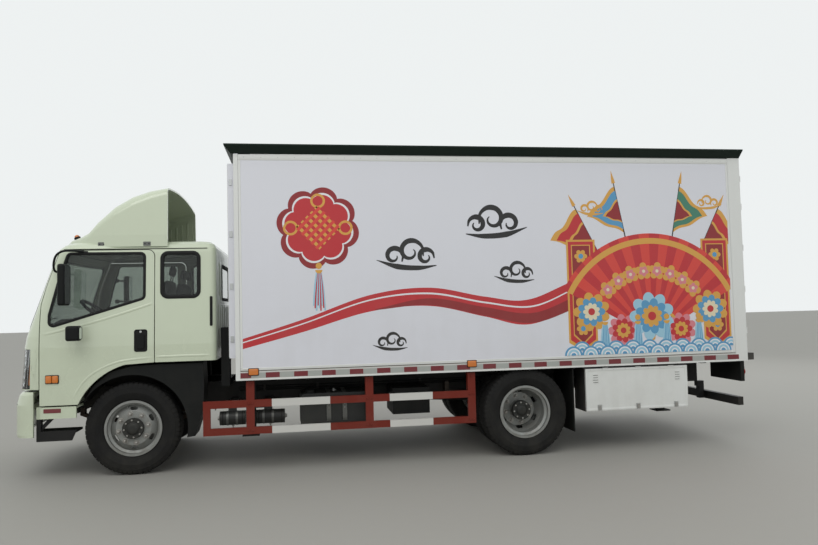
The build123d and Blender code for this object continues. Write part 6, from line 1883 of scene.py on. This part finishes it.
def steeringParts():
    # a ridged grip sleeve over the rim, the middle pad and the stalks
    tilt = radians(38)
    centre = np.array([at(0.395), 0.520, 1.520])
    axis = np.array([-sin(tilt), 0.0, cos(tilt)])
    across = np.array([0.0, 1.0, 0.0])
    above = np.cross(axis, across)
    turn = np.linspace(0, 2 * pi, 72, endpoint=False)[:, None]
    ring = centre + 0.215 * (np.cos(turn) * across + np.sin(turn) * above)
    grip = tube(ring, 0.0158 + 0.0006 * np.cos(turn[:, 0] * 24), 14, closed=True, up=tuple(axis))
    boss = [(0, 0.005), (0.058, 0.005), (0.060, 0.014), (0.050, 0.022), (0.020, 0.026), (0, 0.026)]
    parts = [(grip, plasticBlack), (lathe(boss, centre, axis, 32), plasticBlack)]
    for way in (1, -1):
        start = centre - axis * 0.075 + across * (way * 0.030)
        bend, tip = start + across * way * 0.07 - axis * 0.004, start + across * way * 0.145 + above * 0.01
        parts.append((tube([start, bend, tip], (0.007, 0.0065, 0.0085), 10), plasticBlack))
    return parts


def footwellParts():
    # pedals on hanging arms, and a gear lever in its gaiter
    treadLine = [(at(x), z) for x, z in ((0.600, 1.170), (0.635, 1.122), (0.641, 1.126), (0.606, 1.175))]
    parts = []
    for y, width in ((0.66, 0.05), (0.54, 0.07), (0.42, 0.06)):
        arm = [(at(0.690), y, 1.300), (at(0.660), y, 1.220), (at(0.615), y, 1.165)]
        parts.append((tube(arm, 0.007, 10), plasticBlack))
        parts.append((prism(treadLine, "side", y - width / 2, y + width / 2), bufferRubber))
    folds = [(0, 0), (0.070, 0), (0.060, 0.012), (0.066, 0.022), (0.050, 0.036), (0.055, 0.048), (0.034, 0.064),
             (0.036, 0.074), (0.014, 0.092), (0, 0.092)]
    gaiter = lathe(folds, (at(0.330), 0.150, 1.094), (0, 0, 1), 28)
    lever = tube([(at(0.330), 0.150, 1.170), (at(0.325), 0.152, 1.300), (at(0.290), 0.160, 1.420)], 0.008, 10)
    knob = lathe([(0, -0.022), (0.014, -0.020), (0.024, -0.004), (0.022, 0.014), (0.010, 0.022), (0, 0.022)],
                 (at(0.284), 0.161, 1.438), (-0.25, 0.03, 1), 24)
    parts += [(gaiter, bufferRubber), (lever, strapSteel), (knob, plasticBlack)]
    return parts


for index, (y, width) in enumerate(seatForm["places"]):
    pads = makePiece(f"seatPads_{index}", [(seatPads(y, width), seatCloth)], "cab", smooth=60, levels=1,
                     replaces=["seats"] if index == 0 else ())
bunk = turnedPad(pad((0.300, 1.88, 0.070), 0.012, (), 0.028, 40), 0.0, (at(-0.5825), 0.0, 1.365))
bunkPad = makePiece("bunkPad", [(bunk, seatCloth)], "cab", smooth=60, levels=1)
makePiece("headrestPosts", restPosts(), "cab")
makePiece("dashDetails", dashParts(), "cab")
makePiece("steeringDetails", steeringParts(), "cab")
makePiece("footwellDetails", footwellParts(), "cab")
print("cab inside dressed")

studio = {"floorColour": (0.33, 0.32, 0.295), "sky": (0.90, 0.93, 0.93), "skyStrength": 0.95, "keyPower": 330.0,
          "fillPower": 200.0}


def areaLight(name, place, target, size, power, colour):
    light = bpy.data.lights.new(name, "AREA")
    light.shape = "RECTANGLE"
    light.size, light.size_y = size
    light.energy = power
    light.color = colour
    lamp = bpy.data.objects.new(name, light)
    way = np.asarray(target, float) - np.asarray(place, float)
    way /= np.linalg.norm(way)
    across = np.cross(way, (0, 0, 1.0))
    across /= np.linalg.norm(across)
    pose = np.eye(4)
    pose[:3, 0], pose[:3, 1], pose[:3, 2], pose[:3, 3] = across, np.cross(across, way), -way, place
    lamp.matrix_world = Matrix(pose.tolist())
    bpy.context.scene.collection.objects.link(lamp)


def buildStudio():
    reach = 60.0
    mesh = bpy.data.meshes.new("floor")
    corners = [(-reach, -reach, 0), (reach, -reach, 0), (reach, reach, 0), (-reach, reach, 0)]
    mesh.from_pydata(corners, [], [(0, 1, 2, 3)])
    floor = bpy.data.objects.new("floor", mesh)
    bpy.context.scene.collection.objects.link(floor)
    floor.data.materials.append(surface("floorPaint", studio["floorColour"], 0.75, amount=0.12, low=-1, high=1,
                                        scale=0.6, grain=60, strength=0.1))
    world = bpy.data.worlds.new("softSky")
    world.use_nodes = True
    back = world.node_tree.nodes["Background"]
    back.inputs["Color"].default_value = (*studio["sky"], 1.0)
    back.inputs["Strength"].default_value = studio["skyStrength"]
    bpy.context.scene.world = world
    areaLight("key", (3.5, 9.0, 9.5), (0.0, 0.0, 1.2), (9.0, 5.0), studio["keyPower"], (1.0, 0.985, 0.96))
    areaLight("fill", (-9.0, -7.0, 7.0), (0.0, 0.0, 1.2), (8.0, 5.0), studio["fillPower"], (0.95, 0.97, 1.0))


buildStudio()
print("camera and studio placed")
